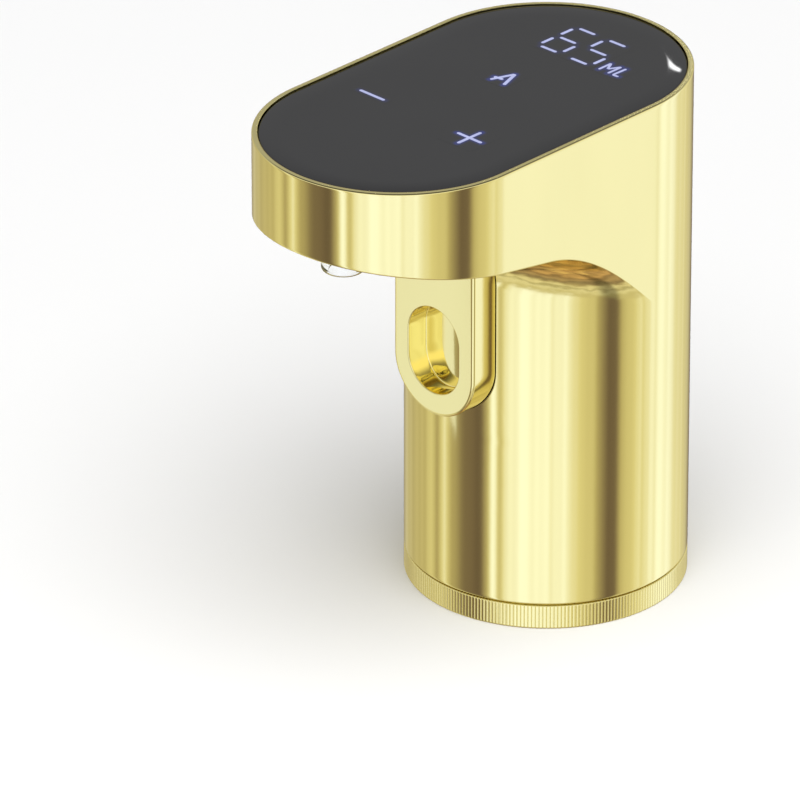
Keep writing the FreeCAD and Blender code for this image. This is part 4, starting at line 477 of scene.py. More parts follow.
def gold_shell(sizes, material):
    """Column and head in one closed wall, open below and on top, with its three openings.

    Each column of the grid is a loop in the plane through one direction: up the outside, along the
    fillet and the slope, up the head's wall, over the rim, down the glass's seat and back inside.
    """
    wall, rim, groove, foot_round = sizes.wall / MM, sizes.rim_edge / MM, 0.12, 0.3
    glass_gap, door_gap, port_gap, spout_wall = 0.15, 0.4, 0.15, 1.2 - 0.15
    skins = outside, inside = ShellSurface(sizes, 0.0), ShellSurface(sizes, wall)
    angles = shell_angles(96, 46, 112)
    level_0, up = np.zeros_like(angles), np.array([0.0, 0.0, 1.0])
    lowest = foot_round / (outside.ball_height(np.array(0.0)) - FOOT)
    levels = np.concatenate([[lowest, lowest * 2], np.linspace(0.03, 0.97, 40), [0.99, 1.0]])
    arc_steps = np.linspace(0, 1, 17)[1:]
    slope_steps = np.concatenate([np.linspace(0, 0.97, 18)[1:], [0.99, 1.0]])

    point, normal = outside.outline(angles)
    end = outside.arc_end(angles)
    to_column, spread = outside.directions(angles)
    back = (np.cos((1 - end) * spread)[:, None] * to_column
            - np.cos(end * spread)[:, None] * outside.under) / np.sin(spread)[:, None]
    back[np.cos(angles) <= 1e-9] = -up
    arc, step = edge_arc(point, unit(back), np.broadcast_to(up, point.shape), sizes.edge / MM, 6)
    outer = shell_rows(outside, angles, levels, arc_steps, slope_steps, step)
    inner = shell_rows(inside, angles, levels, arc_steps, slope_steps, level_0)
    inner[0] = inside.point(angles, level_0)

    def level_ring(offset, height):
        """The head's outline moved inwards by offset along its normal, all at one height."""
        ring = point - normal * offset
        ring[:, 2] = height
        return ring

    seat, tray = RADIUS - GLASS_HIGH[0] - glass_gap, cad_box("panel_tray")[1][2] - 0.8
    climb = np.concatenate([[0.02], np.linspace(0.06, 0.97, 16), [0.99]])
    upright = mixed(arc[-1], level_ring(0.0, TOP - rim), climb)
    over = [level_ring(offset, TOP - drop) for drop, offset in quarter(rim, 6)]
    over += [level_ring(rim + 0.05, TOP), level_ring(seat - groove - 0.05, TOP)]
    over += [level_ring(seat - groove + offset, TOP - drop) for drop, offset in quarter(groove, 6)[::-1]]
    over += [level_ring(seat, TOP - 0.5), level_ring(seat, tray), level_ring(wall, tray)]
    down = mixed(over[-1], inner[-1], np.linspace(0, 1, 6)[1:-1])
    column_foot = outside.point(angles, level_0)
    foot = np.stack([column_foot + to_column * offset + up * rise
                     for offset, rise in quarter(foot_round, 6)[:-1]])
    loop = np.concatenate([foot, outer, arc[1:], upright, np.stack(over), down, inner[::-1]])

    piece = Piece()
    numbers = piece.add(loop)
    outer_numbers = numbers[len(foot):len(foot) + len(outer)]
    inner_numbers = numbers[len(loop) - len(inner):][::-1]
    keep = np.ones((len(loop), len(angles)), bool)
    edges = []

    def window(row, row_end, centre, reach):
        """Rows and columns of a rectangle round the direction centre, reach degrees to each side."""
        middle, side = (int(np.argmin(np.abs(angles - centre - math.radians(a)))) for a in (0, reach))
        span = abs(middle - side)
        return row, row_end, middle - span, middle + span

    def open_hole(where, grids, outlines, lifts, corners=()):
        """Cuts a rectangle out of both skins, and fills it up to the outlines with patches and a wall.

        grids holds each skin's two parameters at its rows and columns; lifts turns them into points.
        """
        row, row_end, column, column_end = where
        for first in (len(foot) + row, len(loop) - 1 - row_end):
            keep[first:first + row_end - row, column:column_end] = False
        spots = [hole_frame(grid, *where) for grid in grids]
        places = match_outline(spots[0], outlines[0], corners)
        rims = []
        for grid, spot, outline, lift in zip((outer_numbers, inner_numbers), spots, outlines, lifts):
            goal = at_places(outline, places)
            rows = piece.add(np.stack([lift(spot * (1 - share) + goal * share) for share in PATCH_SHARES]))
            rows = np.concatenate([hole_frame(grid, *where)[None], rows])
            piece.skin(piece.closed(rows))
            rims.append(rows[-1])
        piece.skin(piece.closed(np.stack(rims)))
        edges.append(rims[0])

    arc_first, slope_first = len(levels), len(levels) + len(arc_steps)
    level_grid = np.stack(np.meshgrid(angles, np.concatenate([levels, 1 + arc_steps])), -1)
    at_levels = [skin.at_levels for skin in skins]
    half = PADDLE_HIGH[0]
    doors = [doorway_outline(skin, half + gap, PADDLE_LOW[2] + half, PADDLE_LOW[1] - door_gap, 120)
             for skin, gap in zip(skins, (0.1, 0.08))]
    where = window(np.searchsorted(levels, 0.505), arc_first + np.searchsorted(arc_steps, 0.8), 0, 29.5)
    open_hole(where, [level_grid] * 2, [door[0] for door in doors], at_levels, doors[0][1])

    low, high = cad_box("usb_socket")
    wide, tall, height = high[0] + port_gap, (high[2] - low[2]) / 2 + port_gap, (low[2] + high[2]) / 2
    ports = [port_outline(skin, wide, tall, height, 60) for skin in skins]
    where = window(np.searchsorted(levels, 0.80), np.searchsorted(levels, 0.985), -PI, 15)
    open_hole(where, [level_grid] * 2, ports, at_levels)

    spout, bend = NOZZLE_HIGH[0] - spout_wall, np.linspace(0, TURN, 200, endpoint=False)
    spout_y = (NOZZLE_LOW[1] + NOZZLE_HIGH[1]) / 2
    circle = np.stack([spout * np.sin(bend), spout_y - spout * np.cos(bend)], -1)
    open_hole(window(slope_first + 4, slope_first + 15, 0, 8.5), (outer[..., :2], inner[..., :2]),
              [circle] * 2, [skin.on_slope for skin in skins])

    piece.skin(piece.closed(numbers, along=True), keep)
    made = piece.build("gold_shell", merge=0.004, bevels=edges, bevel=sizes.hole_edge)
    return finish_piece(made, material, "root", "gold_shell", "outer_shell")


def ring_of(profile, count, change=None, shares=(0.0,)):
    """A profile of (radius, height) points carried round the column's axis, as a grid of points.

    change(radius, height, angle) may alter the radius with the direction. Each of the count steps has a
    column at each of the shares of the step.
    """
    angle = ((np.arange(count)[:, None] + np.asarray(shares)) * TURN / count).ravel()
    radius, height = (np.repeat(profile[:, i:i + 1], len(angle), 1) for i in (0, 1))
    if change is not None:
        radius = change(radius, profile[:, 1:2], angle[None])
    return np.stack([radius * np.sin(angle), -radius * np.cos(angle), height], -1)


def rounded_profile(corners, radius, steps=4):
    """A closed outline of (r, z) corners, each with its own rounding: an arc tangent to both sides."""
    corners = np.asarray(corners, float)
    radii = np.broadcast_to(radius, len(corners))
    rows = []
    for before, corner, after, r in zip(np.roll(corners, 1, 0), corners, np.roll(corners, -1, 0), radii):
        into, out = unit(before - corner), unit(after - corner)
        half = math.acos(np.clip(into @ out, -1, 1)) / 2
        if r <= 0 or half > math.radians(89):
            rows.append(corner[None])
            continue
        room = [0.45 * np.linalg.norm(other - corner) for other in (before, after)]
        step = min(r / math.tan(half), *room)
        true = step * math.tan(half)
        centre = corner + unit(into + out) * true / math.sin(half)
        start, stop = unit(corner + into * step - centre), unit(corner + out * step - centre)
        rows.append(swing(centre[None], start[None], stop[None], steps, true)[:, 0])
    return np.concatenate(rows)


def dense(profile, longest):
    """Divides the long sides of a closed outline, with a close point near each end for clean shading."""
    rows = []
    for a, b in zip(profile, np.roll(profile, -1, 0)):
        size = np.linalg.norm(b - a)
        shares = [0.0]
        if size > 0.4 * longest:
            near = 0.08 / size if size > 0.5 else 0.25
            shares += [near, *np.linspace(0, 1, math.ceil(size / longest) + 1)[1:-1], 1 - near]
        rows += [a * (1 - s) + b * s for s in shares]
    return np.array(rows)


def turned_piece(name, corners, radius, count, centre=(0.0, 0.0), longest=2.0, steps=4):
    """A closed ring: a rounded outline carried round an upright axis."""
    grid = ring_of(dense(rounded_profile(corners, radius, steps), longest), count)
    return Piece().wrap(grid + np.array([*centre, 0.0]), along=True).build(name)


# Columns of one groove's pitch: close together where the groove is.
GROOVE_SHARES = (0.0, 0.045, 0.09, 0.14, 0.22, 0.36, 0.5, 0.64, 0.78, 0.86, 0.91, 0.955)


def base_ring(sizes, material):
    """The knurled ring: crowned teeth with narrow grooves between them, and three lands inside its collar.

    u is the distance from a groove's middle as a share of the pitch. The radius falls by
    depth * exp(-(u / width) squared), and from a tooth's middle to its sides by crown * (1 - 2 |u|) squared.
    Lands: the lip's inner radius is smaller within 30 degrees of three directions. The grooved band has
    six columns to one of the rest; flat faces join the two.
    """
    (outer, _, collar_top), top, low_round, top_round = cad_box("base_ring")[1], 4.7, 0.22, 0.3
    opening, collar_out, collar_in, land_in, lip, seat = 16.5, 24.0, 21.8, 20.5, 1.1, 4.5
    crown, width, ratio, flutes = 0.025, 0.045, 6, sizes.flutes
    depth = sizes.flute_depth / MM - crown

    def grooved(radius, height, angle):
        """The radius less a bell-shaped groove at each flute and a slight fall to each crown's sides."""
        u = (flutes * angle / TURN + 0.5) % 1 - 0.5
        fall = depth * np.exp(-(u / width) ** 2) + crown * (1 - 2 * np.abs(u)) ** 2
        return radius - fall * np.clip((radius - (outer - 1.2)) / 0.6, 0, 1)

    def landed(radius, height, angle):
        """The lip's own radius within 30 degrees of three directions, and the collar's between them."""
        land = sum(np.abs((angle - TURN / 4 - start + PI) % TURN - PI) < math.radians(30)
                   for start in np.radians((60, 180, 300)))
        return np.where((radius < collar_in) & (height > seat + 0.5) & (land < 1), collar_in, radius)

    band = [(outer - 1.3, 0.0), (outer - 0.6, 0.0)]
    band += [(outer - inward, rise) for inward, rise in quarter(low_round, 5)]
    band += [(outer, low_round + (top - low_round - top_round) * part) for part in (0.03, 0.5, 0.97)]
    band += [(outer - inward, top - drop) for drop, inward in quarter(top_round, 5)]
    band += [(outer - 0.6, top), (outer - 1.3, top)]
    corners = [(outer - 1.5, top), (collar_out, top), (collar_out, collar_top), (land_in, collar_top),
               (land_in, collar_top - lip), (collar_in, collar_top - lip), (collar_in, seat), (opening, seat),
               (opening, 0), (outer - 1.5, 0)]
    rest = dense(rounded_profile(corners, (0, 0, 0.2, 0.05, 0.05, 0, 0, 0.3, 0.5, 0)), 3.0)
    last = int(np.argmin(np.abs(rest - corners[-1]).sum(-1)))
    piece = Piece()
    fine = piece.closed(piece.add(ring_of(np.array(band), flutes, grooved, GROOVE_SHARES)))
    coarse = piece.closed(piece.add(ring_of(rest[:last + 1], flutes * 2, landed)))
    piece.skin(fine)
    piece.skin(coarse)
    for near, far in ((fine[0], coarse[-1]), (fine[-1], coarse[0])):
        for column in range(flutes * 2):
            run = near[ratio * column:ratio * (column + 1) + 1][::-1]
            piece.polygons.append([int(far[column]), int(far[column + 1]), *map(int, run)])
    return finish_piece(piece.build("base_ring_gold"), material, "ring", "gold_ring", "base_ring")


def slot_path(low, high, count):
    """A racetrack round centres at the heights low and high: each point's direction and centre height."""
    side = np.linspace(0, 1, 9)[1:-1]
    upper, lower = np.linspace(0, PI, count), np.linspace(PI, TURN, count)
    bend = np.concatenate([upper, np.full_like(side, PI), lower, np.full_like(side, TURN)])
    height = np.concatenate([np.full(count, high), high + (low - high) * side,
                             np.full(count, low), low + (high - low) * side])
    return bend, height


def push_paddle(sizes, material):
    """The push paddle: a flat front with a round lower end, and a racetrack recess down to the column.

    Both outlines are read in the same directions, so the front is a ruled band between them. The floor of
    the recess lies on the column's own cylinder, y = -sqrt(radius squared - x squared).
    """
    recess, recess_low, recess_high, floor_round = 6.2, 52.0, 56.6, 0.25
    skirt, web, pin_room, eye_radius, eye_reach = 1.4, 1.5, 6.0, 1.05, 11
    recess_round, edge = sizes.recess_edge / MM, sizes.paddle_edge / MM
    half, top = PADDLE_HIGH[0], PADDLE_HIGH[2]
    front, back, bottom = PADDLE_LOW[1], -22.4, PADDLE_LOW[2] + half
    bend, height = slot_path(recess_low, recess_high, 49)
    corner = math.atan2(top - recess_high, half)
    for wanted in (corner, PI - corner):
        bend[np.argmin(np.abs(bend - wanted))] = wanted
    cosine, sine = np.cos(bend), np.sin(bend)

    def recess_line(shrink):
        """The racetrack: radius less shrink, times cosine and sine, with its half circle's height added."""
        return np.stack([(recess - shrink) * cosine, height + (recess - shrink) * sine], -1)

    def tongue_line(shrink, limit=top):
        """The paddle's outline, moved inwards: half circle below, straight sides and a flat top."""
        width = half - shrink
        lower = np.minimum(height, recess_high)
        start = bottom + (recess_high - bottom) * (lower - recess_low) / (recess_high - recess_low)
        round_low = np.stack([width * cosine, start + width * np.minimum(sine, 0)], -1)
        reach = np.minimum(width / np.maximum(np.abs(cosine), 1e-9),
                           (limit - shrink - recess_high) / np.maximum(sine, 1e-9))
        upper = np.stack([reach * cosine, recess_high + reach * sine], -1)
        return np.where(((sine > 1e-9) & (height >= recess_high))[:, None], upper, round_low)

    def at_depth(line, depth):
        """A line of (x, height) stood up at the depth y."""
        return np.stack([line[:, 0], np.broadcast_to(depth, len(line)), line[:, 1]], -1)

    def on_column(line, radius=RADIUS):
        """A line of (x, height) laid on the column: y is minus the root of radius squared less x squared."""
        return at_depth(line, -np.sqrt(radius ** 2 - line[:, 0] ** 2))

    def shrunk(line, part):
        """The line drawn in towards the recess's middle, to part of its size."""
        middle = np.array([0.0, (recess_low + recess_high) / 2])
        return middle + (line - middle) * part

    rows = [on_column(shrunk(recess_line(floor_round), part))
            for part in (0.002, *np.linspace(0.08, 0.95, 10), 1)]
    for inward, rise in quarter(floor_round, 7)[1:]:
        line = on_column(recess_line(inward))
        line[:, 1] -= rise
        rows.append(line)
    wall_back, wall_front = on_column(recess_line(0))[:, 1] - floor_round, front + recess_round
    rows += [at_depth(recess_line(0), wall_back * (1 - part) + wall_front * part)
             for part in (0.15, 0.5, 0.85)]
    rows += [at_depth(recess_line(-outward), front + depth) for depth, outward in quarter(recess_round, 7)]
    inner_line, outer_line = recess_line(-recess_round), tongue_line(edge)
    rows += [at_depth(inner_line * (1 - part) + outer_line * part, front)
             for part in (0.04, 0.2, 0.4, 0.6, 0.8, 0.96, 1.0)]
    rows += [at_depth(tongue_line(inward), front + depth) for inward, depth in quarter(edge, 7)[1:]]
    rows += [at_depth(tongue_line(0), front + edge + step) for step in (0.1, 1.0, 2.5, 4.0)]
    rows += [at_depth(tongue_line(0), back - 0.2), at_depth(tongue_line(0.2), back)]
    pin = (PIN_LOW + PIN_HIGH) / 2
    inside = tongue_line(skirt, pin[2] - pin_room + skirt)
    rows += [at_depth(inside, back), at_depth(inside, back - 0.1)]
    rows += [on_column(shrunk(inside, part), RADIUS - web) for part in (*np.linspace(1, 0.1, 6), 0.002)]
    made = Piece().wrap(np.stack(rows)).build("push_paddle_gold", merge=0.03)
    eye_outline = [(0.01, -eye_reach), (eye_radius, -eye_reach), (eye_radius, eye_reach), (0.01, eye_reach)]
    eye = turned_piece("eye_cutter", eye_outline, 0.0, 48, longest=30.0)
    eye.matrix_world = Matrix.Translation(Vector(pin * MM)) @ Matrix.Rotation(PI / 2, 4, "Y")
    bored(made, eye)
    return finish_piece(made, material, "paddle", "gold_paddle", "push_paddle")


def bored(made, cutter):
    """Takes the cutter's shape out of a piece by an exact boolean, and removes the cutter."""
    modifier = made.modifiers.new("bore", "BOOLEAN")
    modifier.operation, modifier.solver, modifier.object = "DIFFERENCE", "EXACT", cutter
    bpy.context.view_layer.update()
    cut = bpy.data.meshes.new_from_object(made.evaluated_get(bpy.context.evaluated_depsgraph_get()))
    made.modifiers.clear()
    made.data = cut
    bpy.data.objects.remove(cutter)


def paddle_pad(material):
    """The round stud behind the paddle that presses the switch: a turned outline laid along Y."""
    low, high = cad_box("switch_plunger")
    start, end, radius = 0.75 - RADIUS, low[1] - 0.4, 2.0
    corners = [(0.001, start), (radius, start), (radius, end), (0.001, end)]
    first, *side, last = rounded_profile(corners, (0, 0.1, 0.35, 0))
    profile = np.array([first, (radius / 2, start), *side, (radius / 2, end), last])
    x, y, z = np.moveaxis(ring_of(profile, 64), -1, 0)
    grid = np.stack([x, z, (low[2] + high[2]) / 2 - y], -1)
    return finish_piece(Piece().wrap(grid).build("paddle_pad"), material, "paddle", "gold_paddle")


def track_rows(radii, heights, count):
    """Racetracks round the head's middle line, one for each radius and height.

    A point is a point of the middle line plus the radius times its outward direction: a half circle of
    directions at each end of the line, and straight sides with 23 points between.
    """
    bend = np.linspace(-PI / 2, PI / 2, count)
    side = np.linspace(0, 1, 25)[1:-1]
    still, ones = np.zeros_like(side), np.ones_like(side)
    across = np.concatenate([np.sin(bend), ones, -np.sin(bend), -ones])
    ahead = np.concatenate([np.cos(bend), still, -np.cos(bend), still])
    centre = -REACH * np.concatenate([np.zeros(count), side, np.ones(count), side[::-1]])
    return np.stack([np.stack([across * r, centre + ahead * r, np.full(len(centre), z)], -1)
                     for r, z in zip(radii, heights)])


def touch_glass(material):
    """The glass inside the rim: a racetrack shrunk to its middle line.

    It is flat in the middle; over the last few millimetres it falls by fall * (distance / falling) squared.
    """
    outer, top, bottom = GLASS_HIGH[0], GLASS_HIGH[2], GLASS_LOW[2]
    round_edge, fall, falling = 0.28, 0.12, 4.0
    flat = outer - round_edge
    level = flat - falling
    radii = [0.001, *np.linspace(2, level - 0.3, 7), *np.linspace(level, flat, 14)]
    heights = [top - fall * max(r - level, 0) ** 2 / falling ** 2 for r in radii]
    for inward, drop in quarter(round_edge, 6)[1:]:
        radii.append(outer - inward)
        heights.append(top - fall - drop)
    radii += [outer, outer, outer - 0.1, outer - 1, 0.001]
    heights += [top - 0.6, bottom + 0.1, bottom, bottom, bottom]
    made = Piece().wrap(track_rows(radii, heights, 91)).build("touch_glass_panel", merge=0.003)
    return finish_piece(made, material, "root", "touch_glass", "touch_glass")


def numeral_strokes(middle, unlit):
    """The lit bars of a seven-bar numeral as (start, end) points. unlit names its dark bars."""
    y, rise, side, long_bar, post = 9.4, 5.1, 2.66, 3.8, 3.1
    bars = {"top": (0, 1), "middle": (0, 0), "bottom": (0, -1), "upper left": (-1, 0.5),
            "lower left": (-1, -0.5), "upper right": (1, 0.5), "lower right": (1, -0.5)}
    strokes = []
    for bar, (across, up) in bars.items():
        if bar not in unlit:
            centre = np.array([middle + side * across, y + rise * up])
            arm = np.array([0, post / 2]) if across else np.array([long_bar / 2, 0])
            strokes.append((centre - arm, centre + arm))
    return strokes


def path_strokes(*points):
    """Strokes along a run of points."""
    points = [np.array(p, float) for p in points]
    return list(zip(points, points[1:]))


def mark_strokes():
    """The strokes of each lit mark, as (x, y) points on the glass. Its text reads along +X."""
    return {
        "numerals": (numeral_strokes(-4.1, ("upper right",))
                     + numeral_strokes(3.3, ("upper right", "lower left"))),
        "unit": (path_strokes((8.15, 4.3), (8.13, 7.62), (9.22, 5.5), (10.5, 7.74), (10.46, 4.2))
                 + path_strokes((11.68, 7.75), (11.56, 4.3), (12.82, 4.42))),
        "auto": (path_strokes((-3.0, -12.2), (-1.17, -7.6), (0.35, -12.2))
                 + path_strokes((-3.3, -10.85), (-1.25, -10.65))),
        "minus": path_strokes((-16.75, -31.45), (-10.55, -31.55)),
        "plus": path_strokes((7.9, -32.2), (13.95, -32.32)) + path_strokes((10.9, -35.3), (10.96, -29.25)),
    }


def stroke_block(start, end, width, low, high):
    """One flat bar with round ends: an outline half the width from the stroke, lifted from low to high.

    The first and the last row are shrunk to the stroke's middle, which closes the bar.
    """
    along = unit(end - start)
    side, bend = np.array([-along[1], along[0]]), np.linspace(-PI / 2, PI / 2, 9)
    cap = (np.cos(bend)[:, None] * along - np.sin(bend)[:, None] * side - along) * width / 2
    run = np.concatenate([end + cap, start - cap])
    middle = (start + end) / 2
    return np.stack([np.column_stack([middle + (run - middle) * part, np.full(len(run), height)])
                     for part, height in ((0, low), (1, low), (1, high - 0.004), (0.97, high), (0, high))])


def lit_marks(sizes, material):
    """The lit bars and letters: thin bars that lie on the glass, every second one a little higher."""
    top, groups, under, rise, lift = GLASS_HIGH[2], mark_strokes(), 0.02, 0.03, 0.001
    for name, members in (("numeral_marks", ("numerals",)), ("key_marks", ("unit", "auto", "minus", "plus"))):
        piece = Piece()
        for member in members:
            width = (sizes.letter if member == "unit" else sizes.stroke) / MM
            for i, (start, end) in enumerate(groups[member]):
                piece.wrap(stroke_block(start, end, width, top - under, top + rise + lift * (i % 2)))
        finish_piece(piece.build(name, merge=0.0004), material, "root", "lit_mark")


def distance_to_strokes(spots, strokes):
    """Distance of each spot to the nearest stroke: to the stroke's line, held between its two ends."""
    gaps = []
    for start, end in strokes:
        along = end - start
        part = np.clip(((spots - start) @ along) / (along @ along), 0, 1)
        gaps.append(np.linalg.norm(spots - (start + part[..., None] * along), axis=-1))
    return np.min(gaps, 0)


def mark_glow(sizes, material):
    """Thin plates on the glass that carry the blue glow round the marks.

    The attribute glow is exp(-(gap / reach) squared) of the gap to the nearest stroke's edge, weaker round
    some marks, and it is brought to 0 at a plate's border.
    """
    strengths = {"numerals": 0.25, "unit": 0.7, "auto": 0.8, "minus": 0.3, "plus": 0.8}
    top, reach, pitch = GLASS_HIGH[2], sizes.glow_reach / MM, 0.16
    groups, piece, glow = mark_strokes(), Piece(), []
    for member, strength in strengths.items():
        strokes = groups[member]
        ends = np.array([p for stroke in strokes for p in stroke])
        low, high = ends.min(0) - 2.6 * reach, ends.max(0) + 2.6 * reach
        counts = np.ceil((high - low) / pitch).astype(int)
        xs, ys = (np.linspace(a, b, n) for a, b, n in zip(low, high, counts))
        spots = np.stack(np.meshgrid(xs, ys, indexing="ij"), -1)
        gap = np.maximum(distance_to_strokes(spots, strokes) - sizes.stroke / MM / 2, 0)
        border = np.minimum(np.minimum(spots - low, high - spots).min(-1) / (0.8 * reach), 1)
        value = np.exp(-(gap / reach) ** 2) * border * strength
        above, below = (piece.add(np.concatenate([spots, np.full((*spots.shape[:2], 1), height)], -1))
                        for height in (top + 0.008, top - 0.02))
        piece.skin(above)
        piece.skin(below)
        for edge in (np.s_[0, :], np.s_[-1, :], np.s_[:, 0], np.s_[:, -1]):
            piece.skin(np.stack([above[edge], below[edge]]))
        glow += [value.ravel(), np.zeros(value.size)]
    mesh = piece.mesh("mark_glow")
    attribute = mesh.attributes.new("glow", "FLOAT", "POINT")
    attribute.data.foreach_set("value", np.concatenate(glow).astype(np.float32))
    work = bmesh.new()
    work.from_mesh(mesh)
    bmesh.ops.recalc_face_normals(work, faces=work.faces)
    work.to_mesh(mesh)
    work.free()
    return finish_piece(linked("mark_glow", mesh), material, "root", "touch_glass")


def pouring_nozzle(material):
    """The clear nozzle: a thick tube with a rounded lip, its flange hidden in the head."""
    tip, top, flange = NOZZLE_LOW[2], NOZZLE_HIGH[2], NOZZLE_HIGH[0]
    bore, outer = 2.7, 4.0
    corners = [(bore, tip), (outer, tip), (outer, top - 1), (flange, top - 1), (flange, top), (bore, top)]
    made = turned_piece("clear_nozzle", corners, (0.35, 0.6, 0.2, 0.1, 0.1, 0.1), 96,
                        (0.0, (NOZZLE_LOW[1] + NOZZLE_HIGH[1]) / 2), longest=1.2, steps=6)
    return finish_piece(made, material, "root", "clear_plastic", "pouring_nozzle")


def bottle_stopper(material):
    """The ribbed plug: root and rib radii alternate, and every rib has a soft tip."""
    (_, _, bottom), (lip, _, top) = cad_box("bottle_stopper")
    inner, root, rib, first, pitch = 4.9, 8.4, 9.7, 2.6, 4.4
    corners, radii = [(inner, bottom), (root, bottom)], [0.2, 1.0]
    for i in range(3):
        low = bottom + first + pitch * i
        corners += [(root, low), (rib, low + 1.0), (rib, low + 1.6), (root, low + 1.6)]
        radii += [0.4, 0.3, 0.3, 0.3]
    corners += [(root, top - 1.6), (lip, top - 1.6), (lip, top), (inner, top)]
    radii += [0.5, 0.5, 0.3, 0.1]
    made = turned_piece("silicone_plug", corners, radii, 160, longest=1.5)
    return finish_piece(made, material, "root", "silicone", "bottle_stopper")


def coil_spring(name, node, material, turns, axis):
    """A wire wound into a spring that fills the CAD spring's box, with a closer turn at each end.

    At a share t of the wire the middle of its section is (R cos a, R sin a, h), with a = turns * t full
    circles. The height h climbs evenly, but slower over the first and the last 0.75 turn. The section is a
    circle across the wire, and shrinks to a point at both ends. axis is 1 or 2 for a spring along Y or Z.
    """
    low, high = cad_box(node)
    wire, clear, slow, slow_climb, steps = 0.3, 0.03, 0.75, 0.5, 28
    middle, half = (low + high) / 2, (high - low) / 2
    radius, climb = half[0] - wire, 2 * half[axis] - 2 * clear - 2 * wire
    wound = np.linspace(0, turns, turns * steps + 1)
    climbs = (0, slow_climb, climb - slow_climb, climb)
    height = np.interp(wound, (0, slow, turns - slow, turns), climbs) - climb / 2
    swell = np.concatenate([[0.0005, wire * 0.6], np.full(len(wound), wire), [wire * 0.6, 0.0005]])
    swell[[2, -3]] = wire * 0.92
    wound, height = (np.pad(row, 2, mode="edge") for row in (wound, height))
    turned, around = wound * TURN, np.linspace(0, TURN, 14, endpoint=False)
    outward = radius + swell[:, None] * np.cos(around)
    x, y = np.cos(turned)[:, None] * outward, np.sin(turned)[:, None] * outward
    z = height[:, None] + swell[:, None] * np.sin(around)
    grid = np.stack([x, z, -y] if axis == 1 else [x, y, z], -1)
    return finish_piece(Piece().wrap(grid + middle).build(name), material, "root", "spring_steel", node)


def springs(material):
    """The paddle's and the relief valve's springs."""
    made = coil_spring("paddle_coil", "paddle_spring", material, 6, 1)
    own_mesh(made)
    made = coil_spring("relief_coil", "relief_valve_spring", material, 5, 2)
    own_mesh(made)


class Nodes:
    """Short names for making and joining the nodes of a material or a world.

    Where a method takes a value, it is a number, a colour, a vector or another node's output.
    """

    def __init__(self, owner):
        owner.use_nodes = True
        self.tree = owner.node_tree
        self.tree.nodes.clear()

    def feed(self, node, inputs):
        """Sets a node's named or numbered inputs, or joins outputs to them."""
        for key, value in inputs.items():
            if isinstance(value, bpy.types.NodeSocket):
                self.tree.links.new(value, node.inputs[key])
            else:
                node.inputs[key].default_value = value

    def new(self, kind, inputs, **settings):
        """A shader node of the kind, with its settings and inputs."""
        node = self.tree.nodes.new("ShaderNode" + kind)
        for name, value in settings.items():
            setattr(node, name, value)
        self.feed(node, inputs)
        return node

    def place(self, space="Object"):
        """The point's coordinates in the space that is named."""
        return self.new("TexCoord", {}).outputs[space]

    def maths(self, operation, *values):
        """One operation on numbers."""
        return self.new("Math", dict(enumerate(values)), operation=operation).outputs[0]

    def vector(self, operation, *values):
        """One operation on vectors; a dot product and a length give a number."""
        node = self.new("VectorMath", dict(enumerate(values)), operation=operation)
        return node.outputs["Value" if operation in ("DOT_PRODUCT", "LENGTH") else "Vector"]

    def mix(self, share, low, high):
        """From the colour low at share 0 to the colour high at share 1."""
        return self.new("Mix", {0: share, 6: low, 7: high}, data_type="RGBA").outputs[2]

    def ramp(self, value, stops):
        """A colour ramp from (position, colour) stops."""
        node = self.new("ValToRGB", {"Fac": value})
        marks = node.color_ramp.elements
        for mark, (place, tint) in zip((marks[0], marks[1]), (stops[0], stops[-1])):
            mark.position, mark.color = place, (*tint, 1)
        for place, tint in stops[1:-1]:
            marks.new(place).color = (*tint, 1)
        return node.outputs["Color"]

    def tints(self, value, base, dark, light, edge=0.3):
        """From the base colour times dark to the base colour times light, as the value rises."""
        return self.ramp(value, [(place, [min(1.0, part * factor) for part in base])
                                 for place, factor in ((edge, dark), (1 - edge, light))])

    def noise(self, scale, detail=2.0, stretch=(1, 1, 1)):
        """Noise on Object coordinates, stretched by a mapping."""
        mapping = self.new("Mapping", {"Scale": stretch, "Vector": self.place()})
        inputs = {"Scale": scale, "Detail": detail, "Vector": mapping.outputs["Vector"]}
        return self.new("TexNoise", inputs).outputs["Fac"]

    def world_noise(self, way, scale, detail, dimensions="3D"):
        """Noise on the directions of a world."""
        inputs = {"Vector": way, "Scale": scale, "Detail": detail}
        return self.new("TexNoise", inputs, noise_dimensions=dimensions).outputs["Fac"]

    def spread(self, value, low, high):
        """Maps 0..1 to low..high."""
        return self.new("MapRange", {"Value": value, "To Min": low, "To Max": high}).outputs["Result"]

    def smooth(self, value, start, stop, low=0.0, high=1.0):
        """Goes smoothly from low to high as the value goes from start to stop."""
        inputs = {"Value": value, "From Min": start, "From Max": stop, "To Min": low, "To Max": high}
        return self.new("MapRange", inputs, interpolation_type="SMOOTHSTEP").outputs["Result"]

    def bump(self, height, strength, distance=0.0001):
        """The normal tilted by the slope of height."""
        inputs = {"Strength": strength, "Distance": distance, "Height": height}
        return self.new("Bump", inputs).outputs["Normal"]


def new_material(name):
    """The nodes of a new material, and a function that fills its surface shader and returns the material."""
    material = bpy.data.materials.new(name)
    nodes = Nodes(material)
    shader = nodes.new("BsdfPrincipled", {})
    nodes.new("OutputMaterial", {"Surface": shader.outputs["BSDF"]})

    def finish(**inputs):
        """Sets the shader's inputs, named with underscores for spaces."""
        nodes.feed(shader, {key.replace("_", " "): value for key, value in inputs.items()})
        return material
    return nodes, finish


